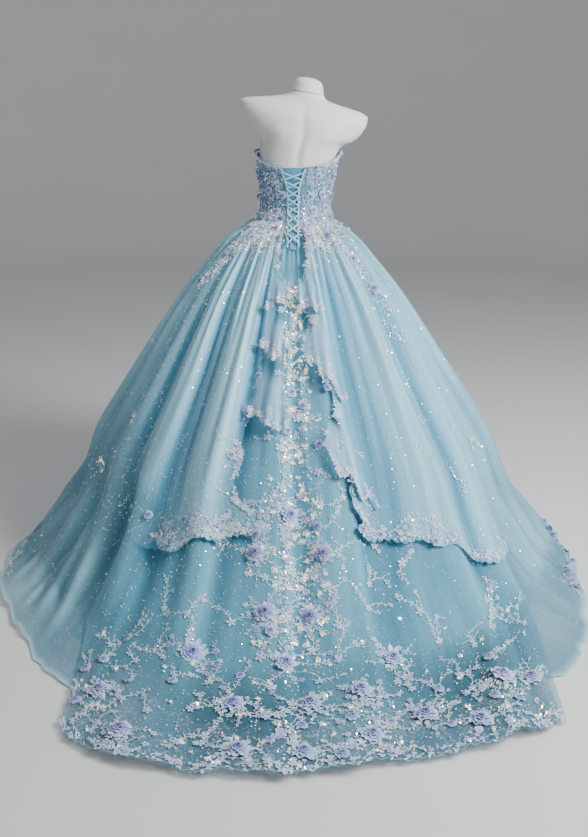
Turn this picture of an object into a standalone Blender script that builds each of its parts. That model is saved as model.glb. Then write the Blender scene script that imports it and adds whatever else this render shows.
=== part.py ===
"""Ballroom gown with a train, on a limbless dress form with a round stand.

Frame: metres, +Z up.  The origin is the middle of the stand's base plate, on
the floor.  The gown's front looks along -Y, its back and its train along +Y,
the wearer's left is +X.

Angles are in degrees round the body: 0 is the centre back (+Y), +90 the
wearer's left side (+X), 180 the centre front.  A skirt level runs from 0 at
the waist seam to 11 just above the floor, and on to 13 at the hem that lies
on the floor.
"""
import math

import bmesh
import bpy
import numpy as np

# ---------------------------------------------------------------- sizes
CLOTH = 0.0012            # thickness of a cloth wall
SATIN = 0.0015            # thickness of a bodice wall
SEAM = 0.0003             # each seam edge steps back by this much, more at a hem
WAIST_SEAM_Z = 1.078      # lower edge of the bodice
LACING_TOP_Z = 1.236
LACING_END_Z = 0.992
LACING_LEVELS = 9
RIBBON_WIDTH = 0.005
TAPE_WIDTH = 0.006
OVERLAY_LIFT = 0.017      # overlay tulle above the train panel
OVERLAY_SHARE = 0.8       # share of the train's folds that the overlays keep
CASCADE_LIFT = 0.028      # flounces above the train panel
LACE_LIFT = 0.0042        # lace above the cloth that it is sewn to
POLE_RADIUS = 0.0155
BASE_RADIUS = 0.170
BASE_THICK = 0.012
FORM_BOTTOM_Z = 0.800

# skirt sections: height, half width, front depth, back depth
LINING_ROWS = [
    (1.0755, .117, .095, .099), (1.045, .150, .120, .135), (.995, .212, .172, .200),
    (.920, .270, .232, .280), (.820, .335, .298, .372), (.705, .402, .364, .480),
    (.590, .466, .424, .590), (.475, .528, .482, .702), (.360, .590, .536, .822),
    (.245, .650, .588, .945), (.135, .712, .636, 1.070), (.040, .765, .680, 1.195)]
TULLE_ROWS = [
    (1.0755, .123, .101, .105), (1.045, .160, .128, .144), (.995, .225, .183, .210),
    (.920, .286, .245, .292), (.820, .365, .312, .386), (.705, .440, .385, .496),
    (.590, .512, .452, .607), (.475, .588, .520, .721), (.360, .662, .585, .841),
    (.245, .705, .635, .966), (.135, .762, .680, 1.096), (.040, .835, .735, 1.222)]
TRAIN_ROWS = [
    (1.0755, .129, .107, .111), (1.045, .168, .135, .153), (.995, .235, .190, .222),
    (.920, .297, .250, .303), (.820, .377, .320, .398), (.705, .453, .395, .508),
    (.590, .526, .460, .619), (.475, .603, .530, .735), (.360, .678, .595, .855),
    (.245, .722, .645, .980), (.135, .780, .690, 1.110), (.040, .850, .745, 1.262)]

# hems where they lie on the floor: angle, x, y
LINING_HEM = [
    (-180, 0, -.70), (-160, -.30, -.63), (-140, -.55, -.44), (-120, -.71, -.16),
    (-100, -.785, .15), (-80, -.79, .42), (-60, -.72, .80), (-40, -.56, 1.10),
    (-20, -.30, 1.26), (0, 0, 1.31), (20, .30, 1.26), (40, .56, 1.10),
    (60, .72, .80), (80, .79, .42), (100, .785, .15), (120, .71, -.16),
    (140, .55, -.44), (160, .30, -.63), (180, 0, -.70)]
TULLE_HEM = [
    (-180, 0, -.75), (-160, -.37, -.66), (-142, -.63, -.49), (-128, -.77, -.29),
    (-115, -.838, -.09), (-104, -.87, .09), (-96, -.892, .26), (-86, -.91, .45),
    (-78, -.902, .62), (-70, -.888, .77), (-62, -.862, .90), (-54, -.83, 1.03),
    (-46, -.772, 1.16), (-38, -.68, 1.27), (-30, -.52, 1.30), (30, .44, 1.31),
    (38, .560, 1.31), (46, .67, 1.20), (54, .745, 1.06), (62, .82, .915),
    (70, .885, .77), (78, .93, .60), (86, .928, .42), (94, .90, .26),
    (104, .868, .09), (115, .838, -.09), (128, .77, -.29), (142, .63, -.49),
    (160, .37, -.66), (180, 0, -.75)]
TRAIN_HEM = [
    (-54, -.668, 1.480), (-40, -.560, 1.548), (-27, -.400, 1.618), (-16, -.230, 1.662),
    (-6, -.080, 1.700), (4, .060, 1.714), (14, .230, 1.695), (24, .381, 1.655),
    (33, .500, 1.590), (42, .575, 1.480)]

# lowest height of each layer's outer face: lining, tulle, train
FLOOR_Z = {"lining": 0.0017, "tulle": 0.0047, "train": 0.0085}

# folds round the skirt, ridge and trough in turn: angle at the waist,
# angle at the hem, height
FOLDS = [
    (-180, -180, .014), (-170, -169, -.012), (-159, -157, .020), (-149, -146, -.016),
    (-139, -135, .022), (-129, -124, -.018), (-119, -113, .024), (-109, -103, -.016),
    (-100, -95, .022), (-91, -88, -.018), (-82, -80, .024), (-73, -72, -.016),
    (-65, -65, .022), (-58.5, -58, -.018), (-52, -52, .022), (-43.5, -46, -.016),
    (-33.5, -38, .028), (-26, -29, -.006), (-19, -20, -.024), (-10.5, -11, .016),
    (-5, -5.5, -.004), (-1, -1, -.010), (5, 4.5, .010), (10, 9.5, -.002),
    (15, 14.5, -.012), (22, 21.5, .018), (28, 27, .002), (33, 33, -.020),
    (41, 40, .022), (47, 47, -.016), (54, 55, .022), (61, 62, -.018),
    (69, 70, .024), (78, 79, -.016), (87, 87, .022), (96, 95, -.018),
    (106, 104, .024), (116, 114, -.016), (127, 125, .022), (138, 136, -.018),
    (149, 147, .020), (160, 159, -.014), (170, 170, -.010), (180, 180, .014)]
DEEPEST = 0.026           # floor ripples are measured up from this depth
RIPPLE = 0.42             # share of a fold's height left where it lies down

# bodice sections: height, centre x, half width, front depth, back depth
BODICE_ROWS = [
    (1.078, -.004, .134, .111, .117), (1.095, -.006, .1235, .100, .098),
    (1.112, -.007, .1205, .097, .0915), (1.150, -.008, .1235, .102, .092),
    (1.200, -.011, .131, .118, .096), (1.245, -.014, .138, .131, .100),
    (1.285, -.017, .1405, .127, .101), (1.315, -.019, .1405, .122, .101)]
# bodice top edge: angle from the centre back, height
BODICE_TOP = [(0, 1.243), (30, 1.244), (55, 1.259), (78, 1.280), (100, 1.284),
              (128, 1.292), (150, 1.308), (165, 1.293), (180, 1.258)]
# lacing opening: height, half width of the opening
OPENING = [(LACING_END_Z, .0140), (1.078, .0140), (1.130, .0142), (1.170, .0160),
           (1.205, .0260), (1.243, .0380)]
# modesty panel: height, half width
MODESTY = [(.988, .0112), (1.112, .0112), (1.128, .0125), (1.150, .0200), (1.200, .0340),
           (1.241, .0460)]
BACK_CURVE = 2.9          # how the centre back rounds off sideways, 1/m

# dress form sections: height, centre x, half width, front, back, tilt in degrees
FORM_ROWS = [
    (.806, .000, .135, .100, .106, 0), (.850, .000, .165, .122, .138, 0),
    (.910, .000, .168, .124, .142, 0), (.980, .000, .147, .108, .122, 0),
    (1.045, -.003, .121, .092, .096, 0), (1.078, -.005, .1085, .086, .084, 0),
    (1.110, -.007, .1075, .086, .0795, 0), (1.170, -.009, .119, .094, .0835, .5),
    (1.235, -.013, .1305, .108, .0895, 1.5), (1.285, -.018, .1310, .106, .0935, 3),
    (1.318, -.026, .139, .100, .096, 5), (1.345, -.033, .172, .088, .095, 7),
    (1.375, -.0355, .1975, .078, .092, 7.5), (1.405, -.0355, .2130, .068, .086, 7.5),
    (1.427, -.0355, .2165, .056, .073, 7.5), (1.441, -.0360, .1960, .048, .064, 7.5),
    (1.452, -.0380, .1400, .047, .060, 7.5), (1.461, -.0420, .0900, .050, .058, 8),
    (1.469, -.0450, .0660, .052, .056, 8.5), (1.482, -.0475, .0560, .051, .052, 9)]
# neck cap sections: height, centre x, half width, front, back, tilt
NECK_ROWS = [
    (1.4832, -.0477, .0555, .0505, .0515, 9), (1.497, -.0495, .0520, .048, .048, 9),
    (1.511, -.0515, .0480, .044, .044, 9), (1.521, -.0525, .0400, .036, .036, 9),
    (1.527, -.0530, .0280, .025, .025, 9)]

# overlay edges: level, angle of the inner edge, angle of the outer edge
OVERLAY_LEFT_EDGE = [(0.5, 10, 56), (2, 10, 57), (3.5, 7, 58), (5, 10, 59),
                     (6.5, 14, 60), (8, 14, 61), (8.8, 5, 61), (9.4, 5, 62)]
OVERLAY_RIGHT_EDGE = [(0.5, -10, -56), (2, -10, -57), (3.5, -6, -58), (5, -9, -59),
                      (6.5, -13, -60), (8, -14, -61), (8.8, -16, -61), (10.1, -18, -62)]
# overlay hems: share from the inner to the outer edge, level
OVERLAY_LEFT_HEM = [(0, 8.70), (.25, 8.95), (.45, 9.35), (.70, 9.15), (1, 8.80)]
OVERLAY_RIGHT_HEM = [(0, 8.85), (.22, 9.05), (.45, 9.45), (.66, 10.0), (.80, 10.1), (1, 9.7)]
OVERLAY_BAND = 0.925      # the hem lace starts at this share of the overlay's drop

# flounces down the centre back: name, first and last angle, first and last level
CASCADES = [
    ("cascade_left_upper", 2.5, 13, 3.25, 4.15), ("cascade_left_middle", 3.0, 13, 4.30, 5.35),
    ("cascade_left_lower", 2.0, 15, 5.50, 6.85), ("cascade_right_upper", -14, -2.5, 3.25, 4.20),
    ("cascade_right_middle", -17, -4.5, 4.40, 6.20), ("cascade_right_lower", -20, -9, 6.60, 8.40)]
# hip lace: name, first and last angle, first and last level
HIP_LACE = [("hip_lace_left", 13, 53, .55, 2.9), ("hip_lace_right", -53, -13, .55, 3.3)]

# cloth roses on the train: angle, level, radius
ROSES = [
    (0.8, 8.35, .019), (8.2, 9.10, .019), (-6.6, 9.12, .018), (5.4, 10.16, .021),
    (-3.4, 10.18, .019), (18.0, 10.98, .021), (1.2, 11.02, .019), (-18.0, 11.10, .019),
    (33.5, 12.18, .020), (9.5, 11.98, .020), (-3.0, 11.94, .020), (-11.5, 11.82, .020),
    (26.5, 12.62, .021), (8.0, 12.66, .020), (-2.0, 12.68, .019), (-13.0, 12.58, .019),
    (-22.0, 12.32, .020), (-31.0, 12.62, .021), (-38.0, 12.18, .020), (-46.5, 12.30, .019)]
ROSE_LIFT = 0.0062
LACE_ROSE_LIFT = 0.0098   # for the roses sewn on the hem lace
ROSE_RIM = 0.003
ROSE_DOME = 0.013


# ---------------------------------------------------------------- functions
def smooth_table(xs, ys, x):
    """A monotone smooth curve through a short table."""
    xs, ys = np.asarray(xs, float), np.asarray(ys, float)
    x = np.clip(np.asarray(x, float), xs[0], xs[-1])
    h = np.diff(xs)
    d = np.diff(ys) / h
    m = np.zeros(len(ys))
    m[0], m[-1] = d[0], d[-1]
    for i in range(1, len(ys) - 1):
        m[i] = 0.0 if d[i - 1] * d[i] <= 0 else 2 * d[i - 1] * d[i] / (d[i - 1] + d[i])
    i = np.clip(np.searchsorted(xs, x, side="right") - 1, 0, len(xs) - 2)
    t = (x - xs[i]) / h[i]
    return (ys[i] * (1 + 2 * t) * (1 - t) ** 2 + m[i] * h[i] * t * (1 - t) ** 2
            + ys[i + 1] * t * t * (3 - 2 * t) + m[i + 1] * h[i] * t * t * (t - 1))


def column(table, k):
    return [row[k] for row in table]


def wrap(a):
    return np.mod(np.asarray(a, float) + 180.0, 360.0) - 180.0


def cone(rows, a, s):
    k = np.arange(len(rows))
    z, w, f, b = [smooth_table(k, column(rows, c), s) for c in range(4)]
    r = np.radians(a)
    return np.stack([w * np.sin(r), (b - f) / 2 + (b + f) / 2 * np.cos(r), z + 0 * r], -1)


LAYERS = {"lining": (LINING_ROWS, LINING_HEM), "tulle": (TULLE_ROWS, TULLE_HEM),
          "train": (TRAIN_ROWS, TRAIN_HEM)}


def plain_skirt(layer, a, s):
    """A layer without folds: down its cone, then out over the floor."""
    rows, hem = LAYERS[layer]
    a, s = np.broadcast_arrays(np.asarray(a, float), np.asarray(s, float))
    p = cone(rows, a, np.minimum(s, 11))
    t = np.clip((s - 11) / 2, 0, 1)[..., None]
    hx = smooth_table(column(hem, 0), column(hem, 1), wrap(a))
    hy = smooth_table(column(hem, 0), column(hem, 2), wrap(a))
    q = np.stack([hx, hy, np.full_like(hx, FLOOR_Z[layer])], -1)
    p1 = cone(rows, a, np.full_like(s, 11.0))
    g = (p1 - cone(rows, a, np.full_like(s, 10.6))) / 0.4 * 0.9
    e = (q - p1) * 0.95
    e[..., 2] = 0
    h = (p1 * (1 + 2 * t) * (1 - t) ** 2 + g * t * (1 - t) ** 2
         + q * t * t * (3 - 2 * t) + e * t * t * (t - 1))
    h[..., 2] = np.maximum(h[..., 2], FLOOR_Z[layer])
    return np.where(t > 0, h, p)


def fold_angles(s):
    t = np.clip(s / 11.0, 0, 1)
    return [top + (low - top) * t for top, low, _ in FOLDS]


def fold_height(a, s):
    """Height of the folds, from cosine ramps between ridge and trough lines."""
    a, s = np.broadcast_arrays(np.asarray(a, float), np.asarray(s, float))
    a = wrap(a)
    out = np.zeros_like(a)
    lines = fold_angles(s)
    for k in range(len(FOLDS) - 1):
        t = (a - lines[k]) / (lines[k + 1] - lines[k])
        inside = (t >= 0) & (t <= 1)
        ramp = (1 - np.cos(np.pi * np.clip(t, 0, 1))) / 2
        out = np.where(inside, FOLDS[k][2] + (FOLDS[k + 1][2] - FOLDS[k][2]) * ramp, out)
    return out


def ease(x, lo, hi):
    t = np.clip((np.asarray(x, float) - lo) / (hi - lo), 0, 1)
    return t * t * (3 - 2 * t)


def folds(layer, a, s):
    if layer == "lining":
        return 0 * np.asarray(a, float) + 0 * np.asarray(s, float)
    f = fold_height(a, s)
    hang = f * ease(s, .3, 6)
    lie = (f + DEEPEST) * RIPPLE
    if layer == "tulle":      # flat where the train panel lies on it
        lie = lie * ease(np.abs(wrap(a)), 50, 64)
    if layer == "train":      # flat at the edges, over the side tulle
        lie = lie * (1 - ease(a, 30, 40)) * ease(a, -53, -42)
    down = ease(s, 9.6, 11.6)
    return hang * (1 - down) + lie * down


def unit(v):
    return v / np.maximum(np.linalg.norm(v, axis=-1, keepdims=True), 1e-12)


def slopes(fn, a, s, da=0.05, ds=0.01):
    ta = (fn(a + da, s) - fn(a - da, s)) / (2 * da)
    ts = (fn(a, s + ds) - fn(a, s - ds)) / (2 * ds)
    return ta, ts


def skirt(layer, a, s, lift=0.0, share=1.0):
    """A skirt layer's outer face with its folds, moved out by lift."""
    a, s = np.broadcast_arrays(np.asarray(a, float), np.asarray(s, float))

    def bare(x, y):
        return plain_skirt(layer, x, np.clip(y, 0.0, 13.0))
    ta, ts = slopes(bare, a, s)
    n = unit(np.cross(ta, ts))
    p = bare(a, s) + n * (folds(layer, a, s) * share)[..., None]
    p[..., 2] = np.maximum(p[..., 2], FLOOR_Z[layer])
    return p + n * np.asarray(lift, float)[..., None]


def face_normal(fn, a, s):
    ta, ts = slopes(fn, a, s, 0.12, 0.02)
    return unit(np.cross(ta, ts))


def bodice(a, z, lift=0.0, with_normal=False):
    """The bodice's outer face."""
    a, z = np.broadcast_arrays(np.asarray(a, float), np.asarray(z, float))

    def bare(x, h):
        cx, w, f, b = [smooth_table(column(BODICE_ROWS, 0), column(BODICE_ROWS, c), h)
                       for c in (1, 2, 3, 4)]
        r = np.radians(x)
        depth = np.where(np.cos(r) > 0, b, f)
        # cups: two soft mounds either side of the centre front
        cup = 0.0
        for side in (152.0, 208.0):
            off = (np.mod(x, 360.0) - side) / 20.0
            cup = cup + np.exp(-off * off - ((h - 1.245) / .045) ** 2)
        p = np.stack([cx + w * np.sin(r), depth * np.cos(r), h + 0 * r], -1)
        out = np.stack([np.sin(r), np.cos(r), 0 * r], -1)
        return p + out * (0.011 * cup)[..., None]
    ta, tz = slopes(bare, a, z, 0.1, 0.0005)
    n = unit(np.cross(tz, ta))
    p = bare(a, z) + n * np.asarray(lift, float)[..., None]
    return (p, n) if with_normal else p


def grid_normals(p, closed):
    """Outward normals of a grid of points, rows going down, columns by angle."""
    if closed:
        du = np.roll(p, -1, 1) - np.roll(p, 1, 1)
    else:
        du = np.gradient(p, axis=1)
    dv = np.gradient(p, axis=0)
    return unit(np.cross(du, dv))


def wall(name, outer, thick, closed=False, colour=(.7, .8, .9), rough=.6, metal=0.0,
         normals=None):
    """A cloth wall: the outer grid, an inner one, and the edges between."""
    n = grid_normals(outer, closed) if normals is None else normals
    inner = outer - n * thick
    rows, cols = outer.shape[:2]
    bm = bmesh.new()
    vo = [[bm.verts.new(outer[i, j]) for j in range(cols)] for i in range(rows)]
    vi = [[bm.verts.new(inner[i, j]) for j in range(cols)] for i in range(rows)]
    last = cols if closed else cols - 1
    for i in range(rows - 1):
        for j in range(last):
            k = (j + 1) % cols
            for grid, flip in ((vo, False), (vi, True)):
                q = [grid[i][j], grid[i + 1][j], grid[i + 1][k], grid[i][k]]
                for tri in ((q[0], q[1], q[2]), (q[0], q[2], q[3])):
                    bm.faces.new(tri[::-1] if flip else tri)
    for j in range(last):
        k = (j + 1) % cols
        bm.faces.new((vo[0][j], vo[0][k], vi[0][k], vi[0][j]))
        bm.faces.new((vo[-1][k], vo[-1][j], vi[-1][j], vi[-1][k]))
    if not closed:
        for i in range(rows - 1):
            bm.faces.new((vo[i + 1][0], vo[i][0], vi[i][0], vi[i + 1][0]))
            bm.faces.new((vo[i][-1], vo[i + 1][-1], vi[i + 1][-1], vi[i][-1]))
    return finish(name, bm, colour, rough, metal)


def material(name, colour, rough, metal):
    m = bpy.data.materials.new(name)
    m.use_nodes = True
    b = m.node_tree.nodes["Principled BSDF"]
    b.inputs["Base Color"].default_value = (*colour, 1)
    b.inputs["Roughness"].default_value = rough
    b.inputs["Metallic"].default_value = metal
    return m


def finish(name, bm, colour, rough, metal):
    bmesh.ops.recalc_face_normals(bm, faces=bm.faces)
    mesh = bpy.data.meshes.new(name)
    bm.to_mesh(mesh)
    bm.free()
    obj = bpy.data.objects.new(name, mesh)
    bpy.context.scene.collection.objects.link(obj)
    mesh.materials.append(material(name, colour, rough, metal))
    mesh.shade_smooth()
    mesh.set_sharp_from_angle(angle=math.radians(40))
    return obj


def part_seam(p, left=True, right=True):
    """Steps the first and last columns back from a seam."""
    p = p.copy()
    gap = SEAM * (1 + 2 * np.linspace(0, 1, p.shape[0]) ** 2)[:, None]
    if left:
        p[:, 0] += unit(p[:, 1] - p[:, 0]) * gap
    if right:
        p[:, -1] += unit(p[:, -2] - p[:, -1]) * gap
    return p


def fold_columns(first, last, halves=2):
    """Column lines that follow the fold lines: angle at the waist, at the hem."""
    out = []
    lines = FOLDS + [(t + 360, h + 360, z) for t, h, z in FOLDS[1:]]
    for k in range(len(lines) - 1):
        for h in range(halves):
            t = h / halves
            top = lines[k][0] + (lines[k + 1][0] - lines[k][0]) * t
            low = lines[k][1] + (lines[k + 1][1] - lines[k][1]) * t
            if first[0] + .6 < top < last[0] - .6:
                out.append((top, low))
    return [first] + out + [last]


def panel(name, layer, first, last, levels, colour, seams=(False, False), lift=0.0, trim=0):
    """A wall from one fold line to another, its columns along the folds."""
    cols = fold_columns(first, last)
    lv = np.array(levels, float)[:, None]
    t = np.clip(lv / 11.0, 0, 1)
    top, low = np.array(cols)[:, 0][None], np.array(cols)[:, 1][None]
    a = top + (low - top) * t
    lv = lv + 0 * a
    if trim:
        a, lv = a[:, trim:-trim], lv[:, trim:-trim]
    n = face_normal(lambda x, y: skirt(layer, x, y), a, lv)
    g = part_seam(skirt(layer, a, lv, lift), *seams)
    return wall(name, g, CLOTH, False, colour, .6, normals=n)


def loft(name, rows, count, colour, rough, cap_low=None, cap_high=None):
    """A closed solid through tilted oval sections."""
    bm = bmesh.new()
    rings = []
    for z, cx, w, f, b, tilt in rows:
        ring = []
        for j in range(count):
            r = 2 * math.pi * j / count
            c, sn = math.cos(r), math.sin(r)
            x = w * math.copysign(abs(sn) ** .94, sn)
            y = (b if c > 0 else f) * math.copysign(abs(c) ** .94, c)
            ring.append(bm.verts.new((cx + x, y, z + x * math.tan(math.radians(tilt)))))
        rings.append(ring)
    for lo, hi in zip(rings, rings[1:]):
        for j in range(count):
            k = (j + 1) % count
            bm.faces.new((lo[k], lo[j], hi[j], hi[k]))
    for ring, tip in ((rings[0], cap_low), (rings[-1], cap_high)):
        if tip is None:
            bm.faces.new(ring)
        else:
            v = bm.verts.new(tip)
            for j in range(count):
                bm.faces.new((ring[j], ring[(j + 1) % count], v))
    return finish(name, bm, colour, rough, 0.0)


# ---------------------------------------------------------------- start
for old in list(bpy.data.objects):
    bpy.data.objects.remove(old, do_unlink=True)

ICE = (.62, .80, .88)
PALE = (.74, .87, .93)
LILAC = (.55, .56, .78)
LACE = (.78, .80, .90)
RIBBON = (.42, .66, .80)
WHITE = (.80, .80, .77)

# ---------------------------------------------------------------- dress form
loft("form_torso", FORM_ROWS, 24, WHITE, .45)
loft("form_neck_cap", NECK_ROWS, 20, WHITE, .45, cap_high=(-.0533, 0, 1.530))


def turned(name, profile, count, colour, rough, metal):
    """A closed turned solid from (radius, height) points, lowest first."""
    bm = bmesh.new()
    rings = [[bm.verts.new((r * math.sin(2 * math.pi * j / count),
                            r * math.cos(2 * math.pi * j / count), z))
              for j in range(count)] for r, z in profile]
    for lo, hi in zip(rings, rings[1:]):
        for j in range(count):
            k = (j + 1) % count
            bm.faces.new((lo[k], lo[j], hi[j], hi[k]))
    bm.faces.new(rings[0])
    bm.faces.new(rings[-1])
    return finish(name, bm, colour, rough, metal)


turned("stand_base", [(BASE_RADIUS, 0), (BASE_RADIUS, BASE_THICK * .6),
                      (BASE_RADIUS - .008, BASE_THICK)], 36, WHITE, .4, .0)
turned("stand_pole", [(POLE_RADIUS, BASE_THICK + .0003), (POLE_RADIUS, FORM_BOTTOM_Z + .0057)],
       16, (.72, .72, .70), .35, .6)

# ---------------------------------------------------------------- skirt lining
lining_levels = np.array([0, 1, 2.5, 4.5, 7, 9.5, 11, 12, 13])[:, None]
for name, first in (("back", -45), ("left", 45), ("front", 135), ("right", 225)):
    gore = np.linspace(first, first + 90, 9)[None]
    a, s = gore + 0 * lining_levels, lining_levels + 0 * gore
    n = face_normal(lambda x, y: skirt("lining", x, y), a, s)
    wall("lining_" + name, part_seam(skirt("lining", a, s)), CLOTH, False, ICE, .4, normals=n)

# ---------------------------------------------------------------- side and front tulle
tulle_levels = [0, 1, 2.5, 4.5, 7, 9, 10.4, 11.4, 12.3, 13]
panel("tulle_left", "tulle", (38, 38), (116, 114), tulle_levels, ICE, (False, True))
panel("tulle_front", "tulle", (116, 114), (231, 236), tulle_levels, ICE, (True, True))
panel("tulle_right", "tulle", (-129, -124), (-38, -38), tulle_levels, ICE, (True, False))

# ---------------------------------------------------------------- train panel
train_levels = [0, 1, 2.5, 4.5, 6.8, 8.8, 10.2, 11, 11.6, 12.1, 12.55, 13]
panel("train_panel", "train", (-54, -54), (42, 42), train_levels, ICE)
panel("train_hem_lace", "train", (-54, -54), (42, 42), [12.1, 12.55, 13], LACE,
      lift=LACE_LIFT + CLOTH, trim=1)


# ---------------------------------------------------------------- overlays
def overlay_point(edge, hem, u, v, lift):
    top = edge[0][0]
    s_hem = smooth_table(column(hem, 0), column(hem, 1), u)
    s = top + (s_hem - top) * v
    a0 = smooth_table(column(edge, 0), column(edge, 1), s)
    a1 = smooth_table(column(edge, 0), column(edge, 2), s)
    rise = (.003 + (lift - .003) * ease(s, .5, 3.0))
    return skirt("train", a0 + (a1 - a0) * u, s, rise, OVERLAY_SHARE)


over_u = np.linspace(0, 1, 16)[None]
over_v = np.array([0, .13, .27, .42, .58, .76, OVERLAY_BAND, 1.0])[:, None]
for side, edge, hem in (("left", OVERLAY_LEFT_EDGE, OVERLAY_LEFT_HEM),
                        ("right", OVERLAY_RIGHT_EDGE, OVERLAY_RIGHT_HEM)):
    u = over_u if side == "left" else over_u[:, ::-1]
    wall("overlay_" + side, overlay_point(edge, hem, u + 0 * over_v, over_v + 0 * u,
                                          OVERLAY_LIFT), CLOTH, False, PALE, .6)
    band = over_v[-2:]
    wall("overlay_lace_" + side, overlay_point(edge, hem, u + 0 * band, band + 0 * u,
                                               OVERLAY_LIFT + LACE_LIFT),
         CLOTH, False, LACE, .6)

# ---------------------------------------------------------------- flounces and hip lace
for name, a0, a1, s0, s1 in CASCADES:
    aa = np.linspace(a0, a1, 6)[None]
    ss = np.linspace(s0, s1, 5)[:, None]
    swell = .007 * ease(ss, s0, s1) * (1 + np.cos((aa - a0) / (a1 - a0) * 4 * np.pi)) / 2
    wall(name, skirt("train", aa + 0 * ss, ss + 0 * aa, CASCADE_LIFT + swell, OVERLAY_SHARE),
         CLOTH, False, PALE, .6)
for name, a0, a1, s0, s1 in HIP_LACE:
    aa = np.linspace(a0, a1, 12)[None]
    ss = np.linspace(s0, s1, 5)[:, None]
    rise = (.003 + (OVERLAY_LIFT - .003) * ease(ss, .5, 3.0)) + .0060
    wall(name, skirt("train", aa + 0 * ss, ss + 0 * aa, rise + 0 * aa, OVERLAY_SHARE),
         CLOTH, False, LACE, .6)

# ---------------------------------------------------------------- bodice
heights = np.array([0, .2, .42, .62, .75, .85, .93, 1.0])[:, None]


def bodice_top(a):
    a = np.abs(np.where(a > 180, 360 - a, a))
    return smooth_table(column(BODICE_TOP, 0), column(BODICE_TOP, 1), a)


def bodice_panel(name, a_low, a_high, cols, opening=0):
    u = np.linspace(0, 1, cols)[None] + 0 * heights
    z = WAIST_SEAM_Z + (bodice_top(a_low + (a_high - a_low) * u) - WAIST_SEAM_Z) * (1 - heights)
    lo, hi = a_low + 0 * z, a_high + 0 * z
    if opening:
        half = smooth_table(column(OPENING, 0), column(OPENING, 1), z)
        w = smooth_table(column(BODICE_ROWS, 0), column(BODICE_ROWS, 2), z)
        cx = smooth_table(column(BODICE_ROWS, 0), column(BODICE_ROWS, 1), z)
        edge = np.degrees(np.arcsin((opening * half - cx) / w))
        lo, hi = (edge, hi) if opening > 0 else (lo, edge)
    a = lo + (hi - lo) * u
    top = bodice_top(a)
    z = WAIST_SEAM_Z + (top - WAIST_SEAM_Z) * (1 - heights)
    p, n = bodice(a, z, 0.0, True)
    wall(name, part_seam(p), SATIN, False, LACE, .5, normals=n)


bodice_panel("bodice_front", 152, 208, 9)
bodice_panel("bodice_side_left", 84, 152, 7)
bodice_panel("bodice_side_right", 208, 276, 7)
bodice_panel("bodice_back_left", 10, 84, 7, 1)
bodice_panel("bodice_back_right", -84, -10, 7, -1)

# lace edge that stands along the bodice's top
top_angles = np.concatenate([np.linspace(28, 332, 24)])[None]
ring_z = bodice_top(top_angles)
edge_rows = []
for dz, lift in ((.012, .0125), (.000, .0090), (-.014, .0068)):
    zz = np.minimum(ring_z, 1.300) + dz
    base = bodice(top_angles, np.minimum(zz, 1.315), lift)
    base[..., 2] = zz
    edge_rows.append(base)
wall("top_lace", np.concatenate(edge_rows, 0), CLOTH, False, LACE, .6)

# ---------------------------------------------------------------- lacing
def back_y(z):
    """The centre back's outer face: the bodice, then the train panel under it."""
    zb = np.maximum(z, WAIST_SEAM_Z)
    up = smooth_table(column(BODICE_ROWS, 0), column(BODICE_ROWS, 4), zb)
    lv = smooth_table(column(TRAIN_ROWS[:5], 0)[::-1], np.arange(5.0)[::-1], z)
    low = smooth_table(np.arange(5.0), column(TRAIN_ROWS[:5], 3), lv) + .0085
    return up + (low - up) * (1 - ease(z, 1.066, 1.084))


def back_face(x, z, lift):
    """A point beside the centre back, moved out along the face's slope."""
    x, z = np.broadcast_arrays(np.asarray(x, float), np.asarray(z, float))
    rise = (back_y(z + .004) - back_y(z - .004)) / .008
    size = np.sqrt(1 + rise * rise)
    out = np.stack([0 * x, 1 / size, -rise / size], -1)
    along = np.stack([0 * x, rise / size, 1 / size], -1)
    cx = smooth_table(column(BODICE_ROWS, 0), column(BODICE_ROWS, 1), np.maximum(z, 1.078))
    cx = cx * ease(z, 1.066, 1.084)
    y = back_y(z) - BACK_CURVE * (x - cx) ** 2
    return np.stack([x, y, z], -1) + out * np.asarray(lift)[..., None], out, along


mz = np.array([1.241, 1.20, 1.165, 1.135, 1.116, 1.104, 1.092, 1.079, 1.066, 1.045, 1.02, .988])
mh = smooth_table(column(MODESTY, 0), column(MODESTY, 1), mz)
sink = -.0040 * ease(mz, 1.098, 1.125)
mx = np.linspace(-1, 1, 5)[None]
p, n, _ = back_face(mh[:, None] * mx, mz[:, None] + 0 * mx, sink[:, None] + 0 * mx)
wall("modesty_panel", p, .001, False, RIBBON, .35, normals=n)

tape_z = np.array([1.236, 1.20, 1.165, 1.135, 1.116, 1.104, 1.092, 1.079, 1.066, 1.045, 1.02,
                   LACING_END_Z])
half = smooth_table(column(OPENING, 0), column(OPENING, 1), tape_z)
for side, sign in (("left", 1), ("right", -1)):
    x0, x1 = sign * (half + .0012), sign * (half + .0012 + TAPE_WIDTH)
    cols = np.stack([x0, x1] if sign > 0 else [x1, x0], 1)
    p, n, _ = back_face(cols, tape_z[:, None] + 0 * cols, .0036)
    wall("loop_tape_" + side, p, .001, False, RIBBON, .4, normals=n)

level_z = np.linspace(LACING_TOP_Z - .007, LACING_END_Z + .009, LACING_LEVELS)


def strip_edges(x, z, width):
    """Both edges of a flat strip along a path, mitred where it turns."""
    d = unit(np.stack([np.diff(x), np.diff(z)], 1))
    d0, d1 = np.vstack([d[:1], d]), np.vstack([d, d[-1:]])
    mid = unit(d0 + d1)
    side = np.stack([mid[:, 1], -mid[:, 0]], 1)
    side = side / np.sum(mid * d0, 1)[:, None] * width / 2
    return (x + side[:, 0], z + side[:, 1]), (x - side[:, 0], z - side[:, 1])


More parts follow.
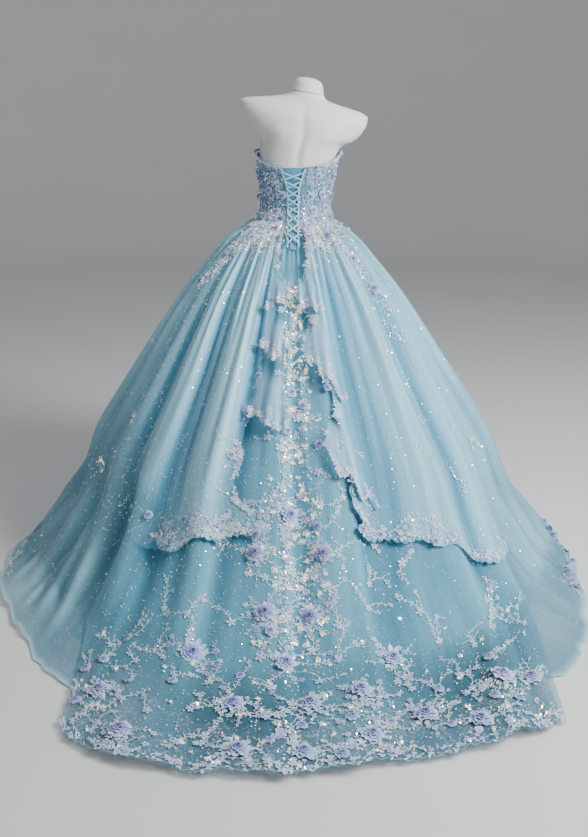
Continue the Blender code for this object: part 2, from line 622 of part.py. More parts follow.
for name, first, lift in (("lacing_ribbon_a", 1, .0060), ("lacing_ribbon_b", -1, .0085)):
    half = smooth_table(column(OPENING, 0), column(OPENING, 1), level_z)
    px, pz = [], []
    for i in range(LACING_LEVELS):     # a short upright run through each loop
        x = first * (-1) ** i * (half[i] + .0012 + TAPE_WIDTH * .5)
        px += [x, x]
        pz += [level_z[i] + .0028, level_z[i] - .0028]
    fine = np.concatenate([[i] if i % 2 == 0 else i + np.arange(3) / 3
                           for i in range(2 * LACING_LEVELS - 1)] + [[2 * LACING_LEVELS - 1]])
    xs, zs = (np.interp(fine, np.arange(len(px)), v) for v in (px, pz))
    grid = []
    for ex, ez in strip_edges(xs, zs, RIBBON_WIDTH):
        p, out, _ = back_face(ex, ez, lift)
        grid.append((p, out))
    wall(name, np.stack([grid[0][0], grid[1][0]]), .001, False, RIBBON, .35,
         normals=np.stack([grid[0][1], grid[1][1]]))

# ---------------------------------------------------------------- cloth roses
for i, (a, s, radius) in enumerate(ROSES):
    fn = lambda x, y: skirt("train", x, y)
    ta, ts = slopes(fn, np.array(a), np.array(s), .5, .05)
    la, ls = np.linalg.norm(ta), np.linalg.norm(ts)
    th = np.arange(6) * math.pi / 3
    aa = np.append(a + radius * np.cos(th) / la, a)
    ss = np.append(s + radius * np.sin(th) / ls, s)
    ss = np.minimum(ss, 12.99)
    lift = LACE_ROSE_LIFT if s > 11.7 else ROSE_LIFT
    low = skirt("train", aa, ss, lift)
    rim = skirt("train", aa, ss, lift + ROSE_RIM)
    tip = skirt("train", np.array(a), np.array(min(s, 12.99)), np.array(lift + ROSE_DOME))
    bm = bmesh.new()
    vl = [bm.verts.new(p) for p in low]
    vr = [bm.verts.new(p) for p in rim[:6]]
    vt = bm.verts.new(tip)
    for j in range(6):
        k = (j + 1) % 6
        bm.faces.new((vl[6], vl[j], vl[k]))
        bm.faces.new((vl[j], vl[k], vr[k], vr[j]))
        bm.faces.new((vr[j], vr[k], vt))
    finish("rose_%02d" % (i + 1), bm, LILAC, .7, 0.0)
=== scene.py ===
"""Looks for the ballroom gown: fine folds, tulle, lace, flowers, form and light."""

import math

import bpy
import numpy as np
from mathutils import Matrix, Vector


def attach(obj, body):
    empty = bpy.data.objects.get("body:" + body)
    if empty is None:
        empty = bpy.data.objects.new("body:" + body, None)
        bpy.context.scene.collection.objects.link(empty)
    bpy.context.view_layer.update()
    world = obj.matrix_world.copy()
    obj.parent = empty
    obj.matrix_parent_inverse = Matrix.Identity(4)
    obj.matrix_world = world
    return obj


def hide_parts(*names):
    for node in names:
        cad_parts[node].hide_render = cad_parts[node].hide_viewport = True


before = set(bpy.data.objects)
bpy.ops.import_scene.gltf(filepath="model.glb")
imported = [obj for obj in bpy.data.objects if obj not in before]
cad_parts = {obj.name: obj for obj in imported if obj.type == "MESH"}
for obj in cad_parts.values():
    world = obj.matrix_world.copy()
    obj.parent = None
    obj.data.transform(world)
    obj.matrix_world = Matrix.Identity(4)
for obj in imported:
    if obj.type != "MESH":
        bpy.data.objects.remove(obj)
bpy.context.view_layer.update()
rng = np.random.default_rng(11)

# ---------------------------------------------------------------- sizes, as in the CAD model
WAIST_SEAM_Z = 1.078
LACING_TOP_Z = 1.236
LACING_END_Z = 0.992
LACING_LEVELS = 9
TAPE_WIDTH = 0.006
RIBBON_WIDTH = 0.005
OVERLAY_LIFT = 0.017
OVERLAY_SHARE = 0.8
CASCADE_LIFT = 0.028
LACE_LIFT = 0.0042
POLE_RADIUS = 0.0155
BASE_RADIUS = 0.170
BASE_THICK = 0.012
FORM_BOTTOM_Z = 0.800

# skirt sections: height, half width, front depth, back depth
LINING_ROWS = [
    (1.0755, .117, .095, .099), (1.045, .150, .120, .135), (.995, .212, .172, .200),
    (.920, .270, .232, .280), (.820, .335, .298, .372), (.705, .402, .364, .480),
    (.590, .466, .424, .590), (.475, .528, .482, .702), (.360, .590, .536, .822),
    (.245, .650, .588, .945), (.135, .712, .636, 1.070), (.040, .765, .680, 1.195)]
TULLE_ROWS = [
    (1.0755, .123, .101, .105), (1.045, .160, .128, .144), (.995, .225, .183, .210),
    (.920, .286, .245, .292), (.820, .365, .312, .386), (.705, .440, .385, .496),
    (.590, .512, .452, .607), (.475, .588, .520, .721), (.360, .662, .585, .841),
    (.245, .705, .635, .966), (.135, .762, .680, 1.096), (.040, .835, .735, 1.222)]
TRAIN_ROWS = [
    (1.0755, .129, .107, .111), (1.045, .168, .135, .153), (.995, .235, .190, .222),
    (.920, .297, .250, .303), (.820, .377, .320, .398), (.705, .453, .395, .508),
    (.590, .526, .460, .619), (.475, .603, .530, .735), (.360, .678, .595, .855),
    (.245, .722, .645, .980), (.135, .780, .690, 1.110), (.040, .850, .745, 1.262)]

# hems where they lie on the floor: angle, x, y
LINING_HEM = [
    (-180, 0, -.70), (-160, -.30, -.63), (-140, -.55, -.44), (-120, -.71, -.16),
    (-100, -.785, .15), (-80, -.79, .42), (-60, -.72, .80), (-40, -.56, 1.10),
    (-20, -.30, 1.26), (0, 0, 1.31), (20, .30, 1.26), (40, .56, 1.10),
    (60, .72, .80), (80, .79, .42), (100, .785, .15), (120, .71, -.16),
    (140, .55, -.44), (160, .30, -.63), (180, 0, -.70)]
TULLE_HEM = [
    (-180, 0, -.75), (-160, -.37, -.66), (-142, -.63, -.49), (-128, -.77, -.29),
    (-115, -.838, -.09), (-104, -.87, .09), (-96, -.892, .26), (-86, -.91, .45),
    (-78, -.902, .62), (-70, -.888, .77), (-62, -.862, .90), (-54, -.83, 1.03),
    (-46, -.772, 1.16), (-38, -.68, 1.27), (-30, -.52, 1.30), (30, .44, 1.31),
    (38, .560, 1.31), (46, .67, 1.20), (54, .745, 1.06), (62, .82, .915),
    (70, .885, .77), (78, .93, .60), (86, .928, .42), (94, .90, .26),
    (104, .868, .09), (115, .838, -.09), (128, .77, -.29), (142, .63, -.49),
    (160, .37, -.66), (180, 0, -.75)]
TRAIN_HEM = [
    (-54, -.668, 1.480), (-40, -.560, 1.548), (-27, -.400, 1.618), (-16, -.230, 1.662),
    (-6, -.080, 1.700), (4, .060, 1.714), (14, .230, 1.695), (24, .381, 1.655),
    (33, .500, 1.590), (42, .575, 1.480)]

# lowest height of each layer's outer face: lining, tulle, train
FLOOR_Z = {"lining": 0.0017, "tulle": 0.0047, "train": 0.0085}

# folds round the skirt, ridge and trough in turn: angle at the waist,
# angle at the hem, height
FOLDS = [
    (-180, -180, .014), (-170, -169, -.012), (-159, -157, .020), (-149, -146, -.016),
    (-139, -135, .022), (-129, -124, -.018), (-119, -113, .024), (-109, -103, -.016),
    (-100, -95, .022), (-91, -88, -.018), (-82, -80, .024), (-73, -72, -.016),
    (-65, -65, .022), (-58.5, -58, -.018), (-52, -52, .022), (-43.5, -46, -.016),
    (-33.5, -38, .028), (-26, -29, -.006), (-19, -20, -.024), (-10.5, -11, .016),
    (-5, -5.5, -.004), (-1, -1, -.010), (5, 4.5, .010), (10, 9.5, -.002),
    (15, 14.5, -.012), (22, 21.5, .018), (28, 27, .002), (33, 33, -.020),
    (41, 40, .022), (47, 47, -.016), (54, 55, .022), (61, 62, -.018),
    (69, 70, .024), (78, 79, -.016), (87, 87, .022), (96, 95, -.018),
    (106, 104, .024), (116, 114, -.016), (127, 125, .022), (138, 136, -.018),
    (149, 147, .020), (160, 159, -.014), (170, 170, -.010), (180, 180, .014)]
DEEPEST = 0.026           # floor ripples are measured up from this depth
RIPPLE = 0.42             # share of a fold's height left where it lies down

# bodice sections: height, centre x, half width, front depth, back depth
BODICE_ROWS = [
    (1.078, -.004, .134, .111, .117), (1.095, -.006, .1235, .100, .098),
    (1.112, -.007, .1205, .097, .0915), (1.150, -.008, .1235, .102, .092),
    (1.200, -.011, .131, .118, .096), (1.245, -.014, .138, .131, .100),
    (1.285, -.017, .1405, .127, .101), (1.315, -.019, .1405, .122, .101)]
# bodice top edge: angle from the centre back, height
BODICE_TOP = [(0, 1.243), (30, 1.244), (55, 1.259), (78, 1.280), (100, 1.284),
              (128, 1.292), (150, 1.308), (165, 1.293), (180, 1.258)]
# lacing opening: height, half width of the opening
OPENING = [(LACING_END_Z, .0140), (1.078, .0140), (1.130, .0142), (1.170, .0160),
           (1.205, .0260), (1.243, .0380)]
# modesty panel: height, half width
MODESTY = [(.988, .0112), (1.112, .0112), (1.128, .0125), (1.150, .0200), (1.200, .0340),
           (1.241, .0460)]
BACK_CURVE = 2.9          # how the centre back rounds off sideways, 1/m

# dress form sections: height, centre x, half width, front, back, tilt in degrees
FORM_ROWS = [
    (.806, .000, .135, .100, .106, 0), (.850, .000, .165, .122, .138, 0),
    (.910, .000, .168, .124, .142, 0), (.980, .000, .147, .108, .122, 0),
    (1.045, -.003, .121, .092, .096, 0), (1.078, -.005, .1085, .086, .084, 0),
    (1.110, -.007, .1075, .086, .0795, 0), (1.170, -.009, .119, .094, .0835, .5),
    (1.235, -.013, .1305, .108, .0895, 1.5), (1.285, -.018, .1310, .106, .0935, 3),
    (1.318, -.026, .139, .100, .096, 5), (1.345, -.033, .172, .088, .095, 7),
    (1.375, -.0355, .1975, .078, .092, 7.5), (1.405, -.0355, .2130, .068, .086, 7.5),
    (1.427, -.0355, .2165, .056, .073, 7.5), (1.441, -.0360, .1960, .048, .064, 7.5),
    (1.452, -.0380, .1400, .047, .060, 7.5), (1.461, -.0420, .0900, .050, .058, 8),
    (1.469, -.0450, .0660, .052, .056, 8.5), (1.482, -.0475, .0560, .051, .052, 9)]
# neck cap sections: height, centre x, half width, front, back, tilt
NECK_ROWS = [
    (1.4832, -.0477, .0555, .0505, .0515, 9), (1.497, -.0495, .0520, .048, .048, 9),
    (1.511, -.0515, .0480, .044, .044, 9), (1.521, -.0525, .0400, .036, .036, 9),
    (1.527, -.0530, .0280, .025, .025, 9)]

# overlay edges: level, angle of the inner edge, angle of the outer edge
OVERLAY_LEFT_EDGE = [(0.5, 10, 56), (2, 10, 57), (3.5, 7, 58), (5, 10, 59),
                     (6.5, 14, 60), (8, 14, 61), (8.8, 5, 61), (9.4, 5, 62)]
OVERLAY_RIGHT_EDGE = [(0.5, -10, -56), (2, -10, -57), (3.5, -6, -58), (5, -9, -59),
                      (6.5, -13, -60), (8, -14, -61), (8.8, -16, -61), (10.1, -18, -62)]
# overlay hems: share from the inner to the outer edge, level
OVERLAY_LEFT_HEM = [(0, 8.70), (.25, 8.95), (.45, 9.35), (.70, 9.15), (1, 8.80)]
OVERLAY_RIGHT_HEM = [(0, 8.85), (.22, 9.05), (.45, 9.45), (.66, 10.0), (.80, 10.1), (1, 9.7)]
OVERLAY_BAND = 0.925      # the hem lace starts at this share of the overlay's drop

# flounces down the centre back: name, first and last angle, first and last level
CASCADES = [
    ("cascade_left_upper", 2.5, 13, 3.25, 4.15), ("cascade_left_middle", 3.0, 13, 4.30, 5.35),
    ("cascade_left_lower", 2.0, 15, 5.50, 6.85), ("cascade_right_upper", -14, -2.5, 3.25, 4.20),
    ("cascade_right_middle", -17, -4.5, 4.40, 6.20), ("cascade_right_lower", -20, -9, 6.60, 8.40)]
# hip lace: name, first and last angle, first and last level
HIP_LACE = [("hip_lace_left", 13, 53, .55, 2.9), ("hip_lace_right", -53, -13, .55, 3.3)]

# cloth roses on the train: angle, level, radius
ROSES = [
    (0.8, 8.35, .019), (8.2, 9.10, .019), (-6.6, 9.12, .018), (5.4, 10.16, .021),
    (-3.4, 10.18, .019), (18.0, 10.98, .021), (1.2, 11.02, .019), (-18.0, 11.10, .019),
    (33.5, 12.18, .020), (9.5, 11.98, .020), (-3.0, 11.94, .020), (-11.5, 11.82, .020),
    (26.5, 12.62, .021), (8.0, 12.66, .020), (-2.0, 12.68, .019), (-13.0, 12.58, .019),
    (-22.0, 12.32, .020), (-31.0, 12.62, .021), (-38.0, 12.18, .020), (-46.5, 12.30, .019)]
ROSE_LIFT = 0.0062
LACE_ROSE_LIFT = 0.0098   # for the roses sewn on the hem lace
ROSE_RIM = 0.003
ROSE_DOME = 0.013


def smooth_table(xs, ys, x):
    """A monotone smooth curve through a short table."""
    xs, ys = np.asarray(xs, float), np.asarray(ys, float)
    x = np.clip(np.asarray(x, float), xs[0], xs[-1])
    h = np.diff(xs)
    d = np.diff(ys) / h
    m = np.zeros(len(ys))
    m[0], m[-1] = d[0], d[-1]
    for i in range(1, len(ys) - 1):
        m[i] = 0.0 if d[i - 1] * d[i] <= 0 else 2 * d[i - 1] * d[i] / (d[i - 1] + d[i])
    i = np.clip(np.searchsorted(xs, x, side="right") - 1, 0, len(xs) - 2)
    t = (x - xs[i]) / h[i]
    return (ys[i] * (1 + 2 * t) * (1 - t) ** 2 + m[i] * h[i] * t * (1 - t) ** 2
            + ys[i + 1] * t * t * (3 - 2 * t) + m[i + 1] * h[i] * t * t * (t - 1))


def column(table, k):
    return [row[k] for row in table]


def wrap(a):
    return np.mod(np.asarray(a, float) + 180.0, 360.0) - 180.0


def cone(rows, a, s):
    k = np.arange(len(rows))
    z, w, f, b = [smooth_table(k, column(rows, c), s) for c in range(4)]
    r = np.radians(a)
    return np.stack([w * np.sin(r), (b - f) / 2 + (b + f) / 2 * np.cos(r), z + 0 * r], -1)


LAYERS = {"lining": (LINING_ROWS, LINING_HEM), "tulle": (TULLE_ROWS, TULLE_HEM),
          "train": (TRAIN_ROWS, TRAIN_HEM)}


def plain_skirt(layer, a, s):
    """A layer without folds: down its cone, then out over the floor."""
    rows, hem = LAYERS[layer]
    a, s = np.broadcast_arrays(np.asarray(a, float), np.asarray(s, float))
    p = cone(rows, a, np.minimum(s, 11))
    t = np.clip((s - 11) / 2, 0, 1)[..., None]
    hx = smooth_table(column(hem, 0), column(hem, 1), wrap(a))
    hy = smooth_table(column(hem, 0), column(hem, 2), wrap(a))
    q = np.stack([hx, hy, np.full_like(hx, FLOOR_Z[layer])], -1)
    p1 = cone(rows, a, np.full_like(s, 11.0))
    g = (p1 - cone(rows, a, np.full_like(s, 10.6))) / 0.4 * 0.9
    e = (q - p1) * 0.95
    e[..., 2] = 0
    h = (p1 * (1 + 2 * t) * (1 - t) ** 2 + g * t * (1 - t) ** 2
         + q * t * t * (3 - 2 * t) + e * t * t * (t - 1))
    h[..., 2] = np.maximum(h[..., 2], FLOOR_Z[layer])
    return np.where(t > 0, h, p)


def fold_angles(s):
    t = np.clip(s / 11.0, 0, 1)
    return [top + (low - top) * t for top, low, _ in FOLDS]


def fold_height(a, s):
    """Height of the folds, from cosine ramps between ridge and trough lines."""
    a, s = np.broadcast_arrays(np.asarray(a, float), np.asarray(s, float))
    a = wrap(a)
    out = np.zeros_like(a)
    lines = fold_angles(s)
    for k in range(len(FOLDS) - 1):
        t = (a - lines[k]) / (lines[k + 1] - lines[k])
        inside = (t >= 0) & (t <= 1)
        ramp = (1 - np.cos(np.pi * np.clip(t, 0, 1))) / 2
        out = np.where(inside, FOLDS[k][2] + (FOLDS[k + 1][2] - FOLDS[k][2]) * ramp, out)
    return out


def ease(x, lo, hi):
    t = np.clip((np.asarray(x, float) - lo) / (hi - lo), 0, 1)
    return t * t * (3 - 2 * t)


def folds(layer, a, s):
    if layer == "lining":
        return 0 * np.asarray(a, float) + 0 * np.asarray(s, float)
    f = fold_height(a, s)
    hang = f * ease(s, .3, 6)
    lie = (f + DEEPEST) * RIPPLE
    if layer == "tulle":      # flat where the train panel lies on it
        lie = lie * ease(np.abs(wrap(a)), 50, 64)
    if layer == "train":      # flat at the edges, over the side tulle
        lie = lie * (1 - ease(a, 30, 40)) * ease(a, -53, -42)
    down = ease(s, 9.6, 11.6)
    return hang * (1 - down) + lie * down


def unit(v):
    return v / np.maximum(np.linalg.norm(v, axis=-1, keepdims=True), 1e-12)


def slopes(fn, a, s, da=0.05, ds=0.01):
    ta = (fn(a + da, s) - fn(a - da, s)) / (2 * da)
    ts = (fn(a, s + ds) - fn(a, s - ds)) / (2 * ds)
    return ta, ts


def skirt(layer, a, s, lift=0.0, share=1.0):
    """A skirt layer's outer face with its folds, moved out by lift."""
    a, s = np.broadcast_arrays(np.asarray(a, float), np.asarray(s, float))

    def bare(x, y):
        return plain_skirt(layer, x, np.clip(y, 0.0, 13.0))
    ta, ts = slopes(bare, a, s)
    n = unit(np.cross(ta, ts))
    p = bare(a, s) + n * (folds(layer, a, s) * share)[..., None]
    p[..., 2] = np.maximum(p[..., 2], FLOOR_Z[layer])
    return p + n * np.asarray(lift, float)[..., None]


def face_normal(fn, a, s):
    ta, ts = slopes(fn, a, s, 0.12, 0.02)
    return unit(np.cross(ta, ts))


def bodice(a, z, lift=0.0, with_normal=False):
    """The bodice's outer face."""
    a, z = np.broadcast_arrays(np.asarray(a, float), np.asarray(z, float))

    def bare(x, h):
        cx, w, f, b = [smooth_table(column(BODICE_ROWS, 0), column(BODICE_ROWS, c), h)
                       for c in (1, 2, 3, 4)]
        r = np.radians(x)
        depth = np.where(np.cos(r) > 0, b, f)
        # cups: two soft mounds either side of the centre front
        cup = 0.0
        for side in (152.0, 208.0):
            off = (np.mod(x, 360.0) - side) / 20.0
            cup = cup + np.exp(-off * off - ((h - 1.245) / .045) ** 2)
        p = np.stack([cx + w * np.sin(r), depth * np.cos(r), h + 0 * r], -1)
        out = np.stack([np.sin(r), np.cos(r), 0 * r], -1)
        return p + out * (0.011 * cup)[..., None]
    ta, tz = slopes(bare, a, z, 0.1, 0.0005)
    n = unit(np.cross(tz, ta))
    p = bare(a, z) + n * np.asarray(lift, float)[..., None]
    return (p, n) if with_normal else p

def overlay_point(edge, hem, u, v, lift):
    top = edge[0][0]
    s_hem = smooth_table(column(hem, 0), column(hem, 1), u)
    s = top + (s_hem - top) * v
    a0 = smooth_table(column(edge, 0), column(edge, 1), s)
    a1 = smooth_table(column(edge, 0), column(edge, 2), s)
    rise = (.003 + (lift - .003) * ease(s, .5, 3.0))
    return skirt("train", a0 + (a1 - a0) * u, s, rise, OVERLAY_SHARE)


def bodice_top(a):
    a = np.abs(np.where(a > 180, 360 - a, a))
    return smooth_table(column(BODICE_TOP, 0), column(BODICE_TOP, 1), a)


def back_y(z):
    """The centre back's outer face: the bodice, then the train panel under it."""
    zb = np.maximum(z, WAIST_SEAM_Z)
    up = smooth_table(column(BODICE_ROWS, 0), column(BODICE_ROWS, 4), zb)
    lv = smooth_table(column(TRAIN_ROWS[:5], 0)[::-1], np.arange(5.0)[::-1], z)
    low = smooth_table(np.arange(5.0), column(TRAIN_ROWS[:5], 3), lv) + .0085
    return up + (low - up) * (1 - ease(z, 1.066, 1.084))


def back_face(x, z, lift):
    """A point beside the centre back, moved out along the face's slope."""
    x, z = np.broadcast_arrays(np.asarray(x, float), np.asarray(z, float))
    rise = (back_y(z + .004) - back_y(z - .004)) / .008
    size = np.sqrt(1 + rise * rise)
    out = np.stack([0 * x, 1 / size, -rise / size], -1)
    along = np.stack([0 * x, rise / size, 1 / size], -1)
    cx = smooth_table(column(BODICE_ROWS, 0), column(BODICE_ROWS, 1), np.maximum(z, 1.078))
    cx = cx * ease(z, 1.066, 1.084)
    y = back_y(z) - BACK_CURVE * (x - cx) ** 2
    return np.stack([x, y, z], -1) + out * np.asarray(lift)[..., None], out, along

# ---------------------------------------------------------------- fine folds
# soft creases between the main folds: angle at the waist, angle at the hem,
# first level, last level, half width in degrees, height
CREASES = [
    (12, 13, .6, 6.5, .9, .006), (14, 16, 1.2, 8, .8, -.005), (17, 18, .4, 4.5, 1.0, .006),
    (19, 21, 2, 9, 1.1, .007), (23.5, 24.5, .5, 5.2, .8, -.006), (25, 27, 1.5, 8.8, 1.2, .006),
    (27.5, 30, 3.0, 9.2, .9, -.006), (30, 31, .5, 3.8, .8, .005), (31, 34, 2.2, 8.0, 1.3, .007),
    (34.5, 36, .8, 6.0, .9, -.005), (37, 37.5, 1.8, 9.0, 1.4, .008), (39, 42, .4, 4.2, .8, -.006),
    (42, 44.5, 2.6, 8.6, 1.0, .006), (44, 48, .6, 7.2, .9, .005), (46, 50, 3.5, 9.1, 1.5, -.007),
    (49, 51.5, .5, 4.8, .9, .006), (51, 54, 2.0, 8.0, 1.2, .007), (53, 57, 1.0, 6.2, .8, -.005),
    (56, 58.5, .5, 8.4, 1.1, .006), (60, 62, 2.4, 9.6, 1.4, .006), (63, 66, .6, 6.6, .9, -.005),
    (67, 69, 1.6, 9.0, 1.2, .007), (71, 74, .5, 5.0, 1.0, .006), (75, 77, 3.0, 10.0, 1.5, -.006),
    (80, 81, .8, 7.0, 1.1, .006), (84, 86, 2.0, 9.4, 1.3, .007),
    (-12, -12.5, .5, 5.0, .9, .006), (-14.5, -16, 1.0, 8.2, .9, -.005),
    (-16.5, -18.5, .4, 3.9, .8, .006), (-21, -23, 1.4, 8.6, 1.2, .007),
    (-24, -25, .5, 4.6, .8, -.005), (-27, -29, 2.4, 9.4, 1.3, .006),
    (-29, -32.5, .6, 6.2, .9, -.006), (-31.5, -35, 1.2, 9.8, 1.1, .007),
    (-35, -37.5, .5, 5.5, .9, .006), (-37, -41, 2.8, 9.9, 1.4, -.007),
    (-39.5, -43, .8, 7.4, .9, .006), (-41.5, -45.5, .5, 4.0, .8, .005),
    (-45, -48, 1.8, 8.8, 1.2, .007), (-47.5, -50.5, .5, 6.6, .9, -.006),
    (-50, -54, 2.2, 9.5, 1.1, .006), (-54, -56, .5, 4.4, .8, .005),
    (-56.5, -58.5, 1.4, 8.1, 1.3, -.006), (-61, -63, .6, 6.4, 1.0, .006),
    (-64, -67, 2.6, 9.8, 1.4, .007), (-69, -70, .5, 5.4, .9, -.005),
    (-73, -75, 1.4, 8.8, 1.2, .006), (-78, -80, .8, 7.6, 1.0, .006),
    (-84, -85, 2.2, 9.6, 1.5, -.006),
    (-8, -8.5, 2, 12, .8, .004), (-6, -7, 5, 12.5, .7, .005), (-3, -3.4, 2.4, 9, .6, .004),
    (-1.8, -2.6, 7, 13, .8, -.004), (1.5, 1.8, 2, 12.6, .7, .005), (3.2, 3, 6, 13, .6, -.004),
    (6.8, 7.2, 3, 12.2, .9, .005), (8.6, 9.4, 7, 13, .8, .004), (-13, -14, 8, 13, 1.0, .005),
    (-17, -17.5, 8, 12.4, .9, -.004), (-22, -24, 8.5, 13, 1.1, .006),
    (-27, -27.5, 9, 13, .9, .005), (-31, -33, 8.8, 12.6, 1.2, -.005),
    (-36, -37, 9, 13, 1.0, .006), (-41, -43, 9.5, 13, 1.1, .005),
    (-45, -48, 9.6, 12.8, 1.0, -.004), (13, 13.6, 8, 12.8, 1.0, .005),
    (18, 19, 8.2, 13, .9, .005), (24, 24.6, 8.6, 12.4, 1.0, -.004),
    (29, 30.5, 8.8, 13, 1.1, .006), (34, 36, 9, 12.8, .9, .005), (37, 39, 9.6, 13, .8, .004),
    # the spread of the side tulle on the floor
    (50, 52, 9.4, 13, 0.86, .017), (55, 57.5, 8.8, 12.9, 1.01, .023), (59, 62.5, 9.6, 13, 0.70, .017),
    (64, 67, 8.6, 12.6, 1.17, .025), (70, 72, 9.8, 13, 0.78, .019), (73, 77.5, 9.0, 12.9, 1.01, .023),
    (80, 82.5, 9.6, 13, 0.86, .019), (85, 88, 8.8, 12.8, 1.17, .023), (92, 94, 9.6, 13, 0.78, .017),
    (97, 100, 9.0, 12.9, 1.09, .023), (105, 106.5, 9.4, 13, 0.94, .021), (111, 113, 9.0, 12.8, 1.01, .021),
    (-57, -58.5, 9.2, 13, 0.94, .021), (-62, -64.5, 8.8, 12.9, 1.09, .025), (-68, -70, 9.6, 13, 0.70, .017),
    (-73, -75.5, 9.0, 12.8, 1.09, .023), (-79, -81.5, 9.6, 13, 0.86, .019), (-84, -87.5, 8.8, 12.9, 1.17, .025),
    (-91, -93, 9.6, 13, 0.78, .017), (-97, -100, 9.0, 12.8, 1.01, .021), (-105, -106, 9.4, 13, 0.86, .019),
    (-111, -113.5, 9.0, 12.9, 1.09, .023)]
# similar ones on the sides and the front, each with its own unevenness
for shift, first, last in ((100, -12, 86), (-100, -86, 12), (180, -40, 40)):
    for top, low, s0, s1, width, height in CREASES[:50]:
        if first <= top <= last:
            j = rng.normal(0, 1, 5)
            CREASES.append((top + shift + j[0], low + shift + j[0] + j[1], max(.4, s0 + .4 * j[2]),
                            min(12.8, s1 + .7 * j[3]), width * (1 + .15 * j[4]), height))

GRID_A, GRID_S = 0.25, 0.025


def fold_map(rows, seed, gathers):
    """The fine folds on a regular map of angle and level, to be read between."""
    local = np.random.default_rng(seed)
    a = np.arange(-180, 180, GRID_A)[None]
    s = np.arange(0, 13 + GRID_S, GRID_S)[:, None]
    out = np.zeros((s.shape[0], a.shape[1]))
    for top, low, s0, s1, width, height in rows:
        line = top + (low - top) * np.clip(s / 11, 0, 1) + .5 * np.sin(s * .9 + top)
        wide = width * (1.1 + .75 * ease(s, 2, 9))
        off = wrap(a - line) / wide
        run = ease(s, s0, s0 + .3 * (s1 - s0)) * (1 - ease(s, s1 - .3 * (s1 - s0), s1))
        out += height * run * np.exp(-off * off)
    # many narrow gathers from the waist seam, uneven round the body
    warp = 2.1 * np.sin(np.radians(a * 5 + 30)) + 1.3 * np.sin(np.radians(a * 11)) \
        + .8 * np.sin(np.radians(a * 23 + 70))
    strength = .6 + .4 * np.sin(np.radians(a * 7 + 20)) * np.sin(np.radians(a * 3 + 50))
    for count, size, end in ((90, .0026, 3.4), (151, .0017, 2.2), (47, .0030, 5.2)):
        wave = np.sin(np.radians(count * (a + warp * 90 / count * .5)) + local.uniform(0, 6))
        out += gathers * size * strength * wave * ease(s, .05, 1.0) * (1 - ease(s, end * .45, end))
    # long soft unevenness lower down
    for _ in range(14):
        k, ph, q, pq = local.integers(9, 40), local.uniform(0, 6), local.uniform(.2, .8), local.uniform(0, 6)
        out += .0011 * np.sin(np.radians(k * a) + ph) * np.sin(q * s + pq) * ease(s, 2, 7)
    return out


def read_map(grid, a, s):
    x = (wrap(a) + 180.0) / GRID_A
    y = np.clip(s, 0, 13) / GRID_S
    i, j = np.floor(y).astype(int), np.floor(x).astype(int)
    i = np.clip(i, 0, grid.shape[0] - 2)
    fy, fx = y - i, x - j
    j0, j1 = j % grid.shape[1], (j + 1) % grid.shape[1]
    return ((grid[i, j0] * (1 - fx) + grid[i, j1] * fx) * (1 - fy)
            + (grid[i + 1, j0] * (1 - fx) + grid[i + 1, j1] * fx) * fy)


FINE = fold_map(CREASES, 3, 1.0)
OWN = fold_map([(a + 1.3, b + 1.9, s0, s1, w * .8, -h * .8) for a, b, s0, s1, w, h in CREASES], 8, .9)


def fine(a, s, grid=None):
    g = read_map(FINE if grid is None else grid, a, s)
    down = ease(s, 9.8, 11.6)
    return g * (1 - down) + (np.abs(g) * .8) * down


def hem_wave(layer, a):
    """How far the hem wanders in and out on the floor."""
    r = np.radians(a)
    size = {"lining": .0, "tulle": .011, "train": .010}[layer]
    return size * (np.sin(31 * r + .6) * .5 + np.sin(53 * r + 2 * np.sin(7 * r)) * .35
                   + np.sin(97 * r + 1.1) * .2)


def cloth(layer, a, s, lift=0.0, share=1.0, own=0.0):
    """A skirt layer's outer face with main and fine folds."""
    a, s = np.broadcast_arrays(np.asarray(a, float), np.asarray(s, float))

    def bare(x, y):
        return plain_skirt(layer, x, np.clip(y, 0.0, 13.0))
    ta, ts = slopes(bare, a, s)
    n = unit(np.cross(ta, ts))
    h = folds(layer, a, s) * share
    if layer == "lining":
        h = h + fine(a, s) * .25
    else:
        edge = 1.0
        if layer == "train":
            edge = (1 - .7 * ease(a, 34, 41)) * (.3 + .7 * ease(a, -53, -46))
        h = h + fine(a, s) * edge
    if np.any(own):
        h = h + own * read_map(OWN, a, s)
    p = bare(a, s) + n * h[..., None]
    out = plain_skirt(layer, a, np.full_like(s, 13.0)) - plain_skirt(layer, a, np.full_like(s, 11.0))
    out[..., 2] = 0
    t = np.clip((s - 11) / 2, 0, 1)
    p = p + unit(out) * (hem_wave(layer, a) * t * t)[..., None]
    p[..., 2] = np.maximum(p[..., 2], FLOOR_Z[layer])
    return p + n * np.asarray(lift, float)[..., None]


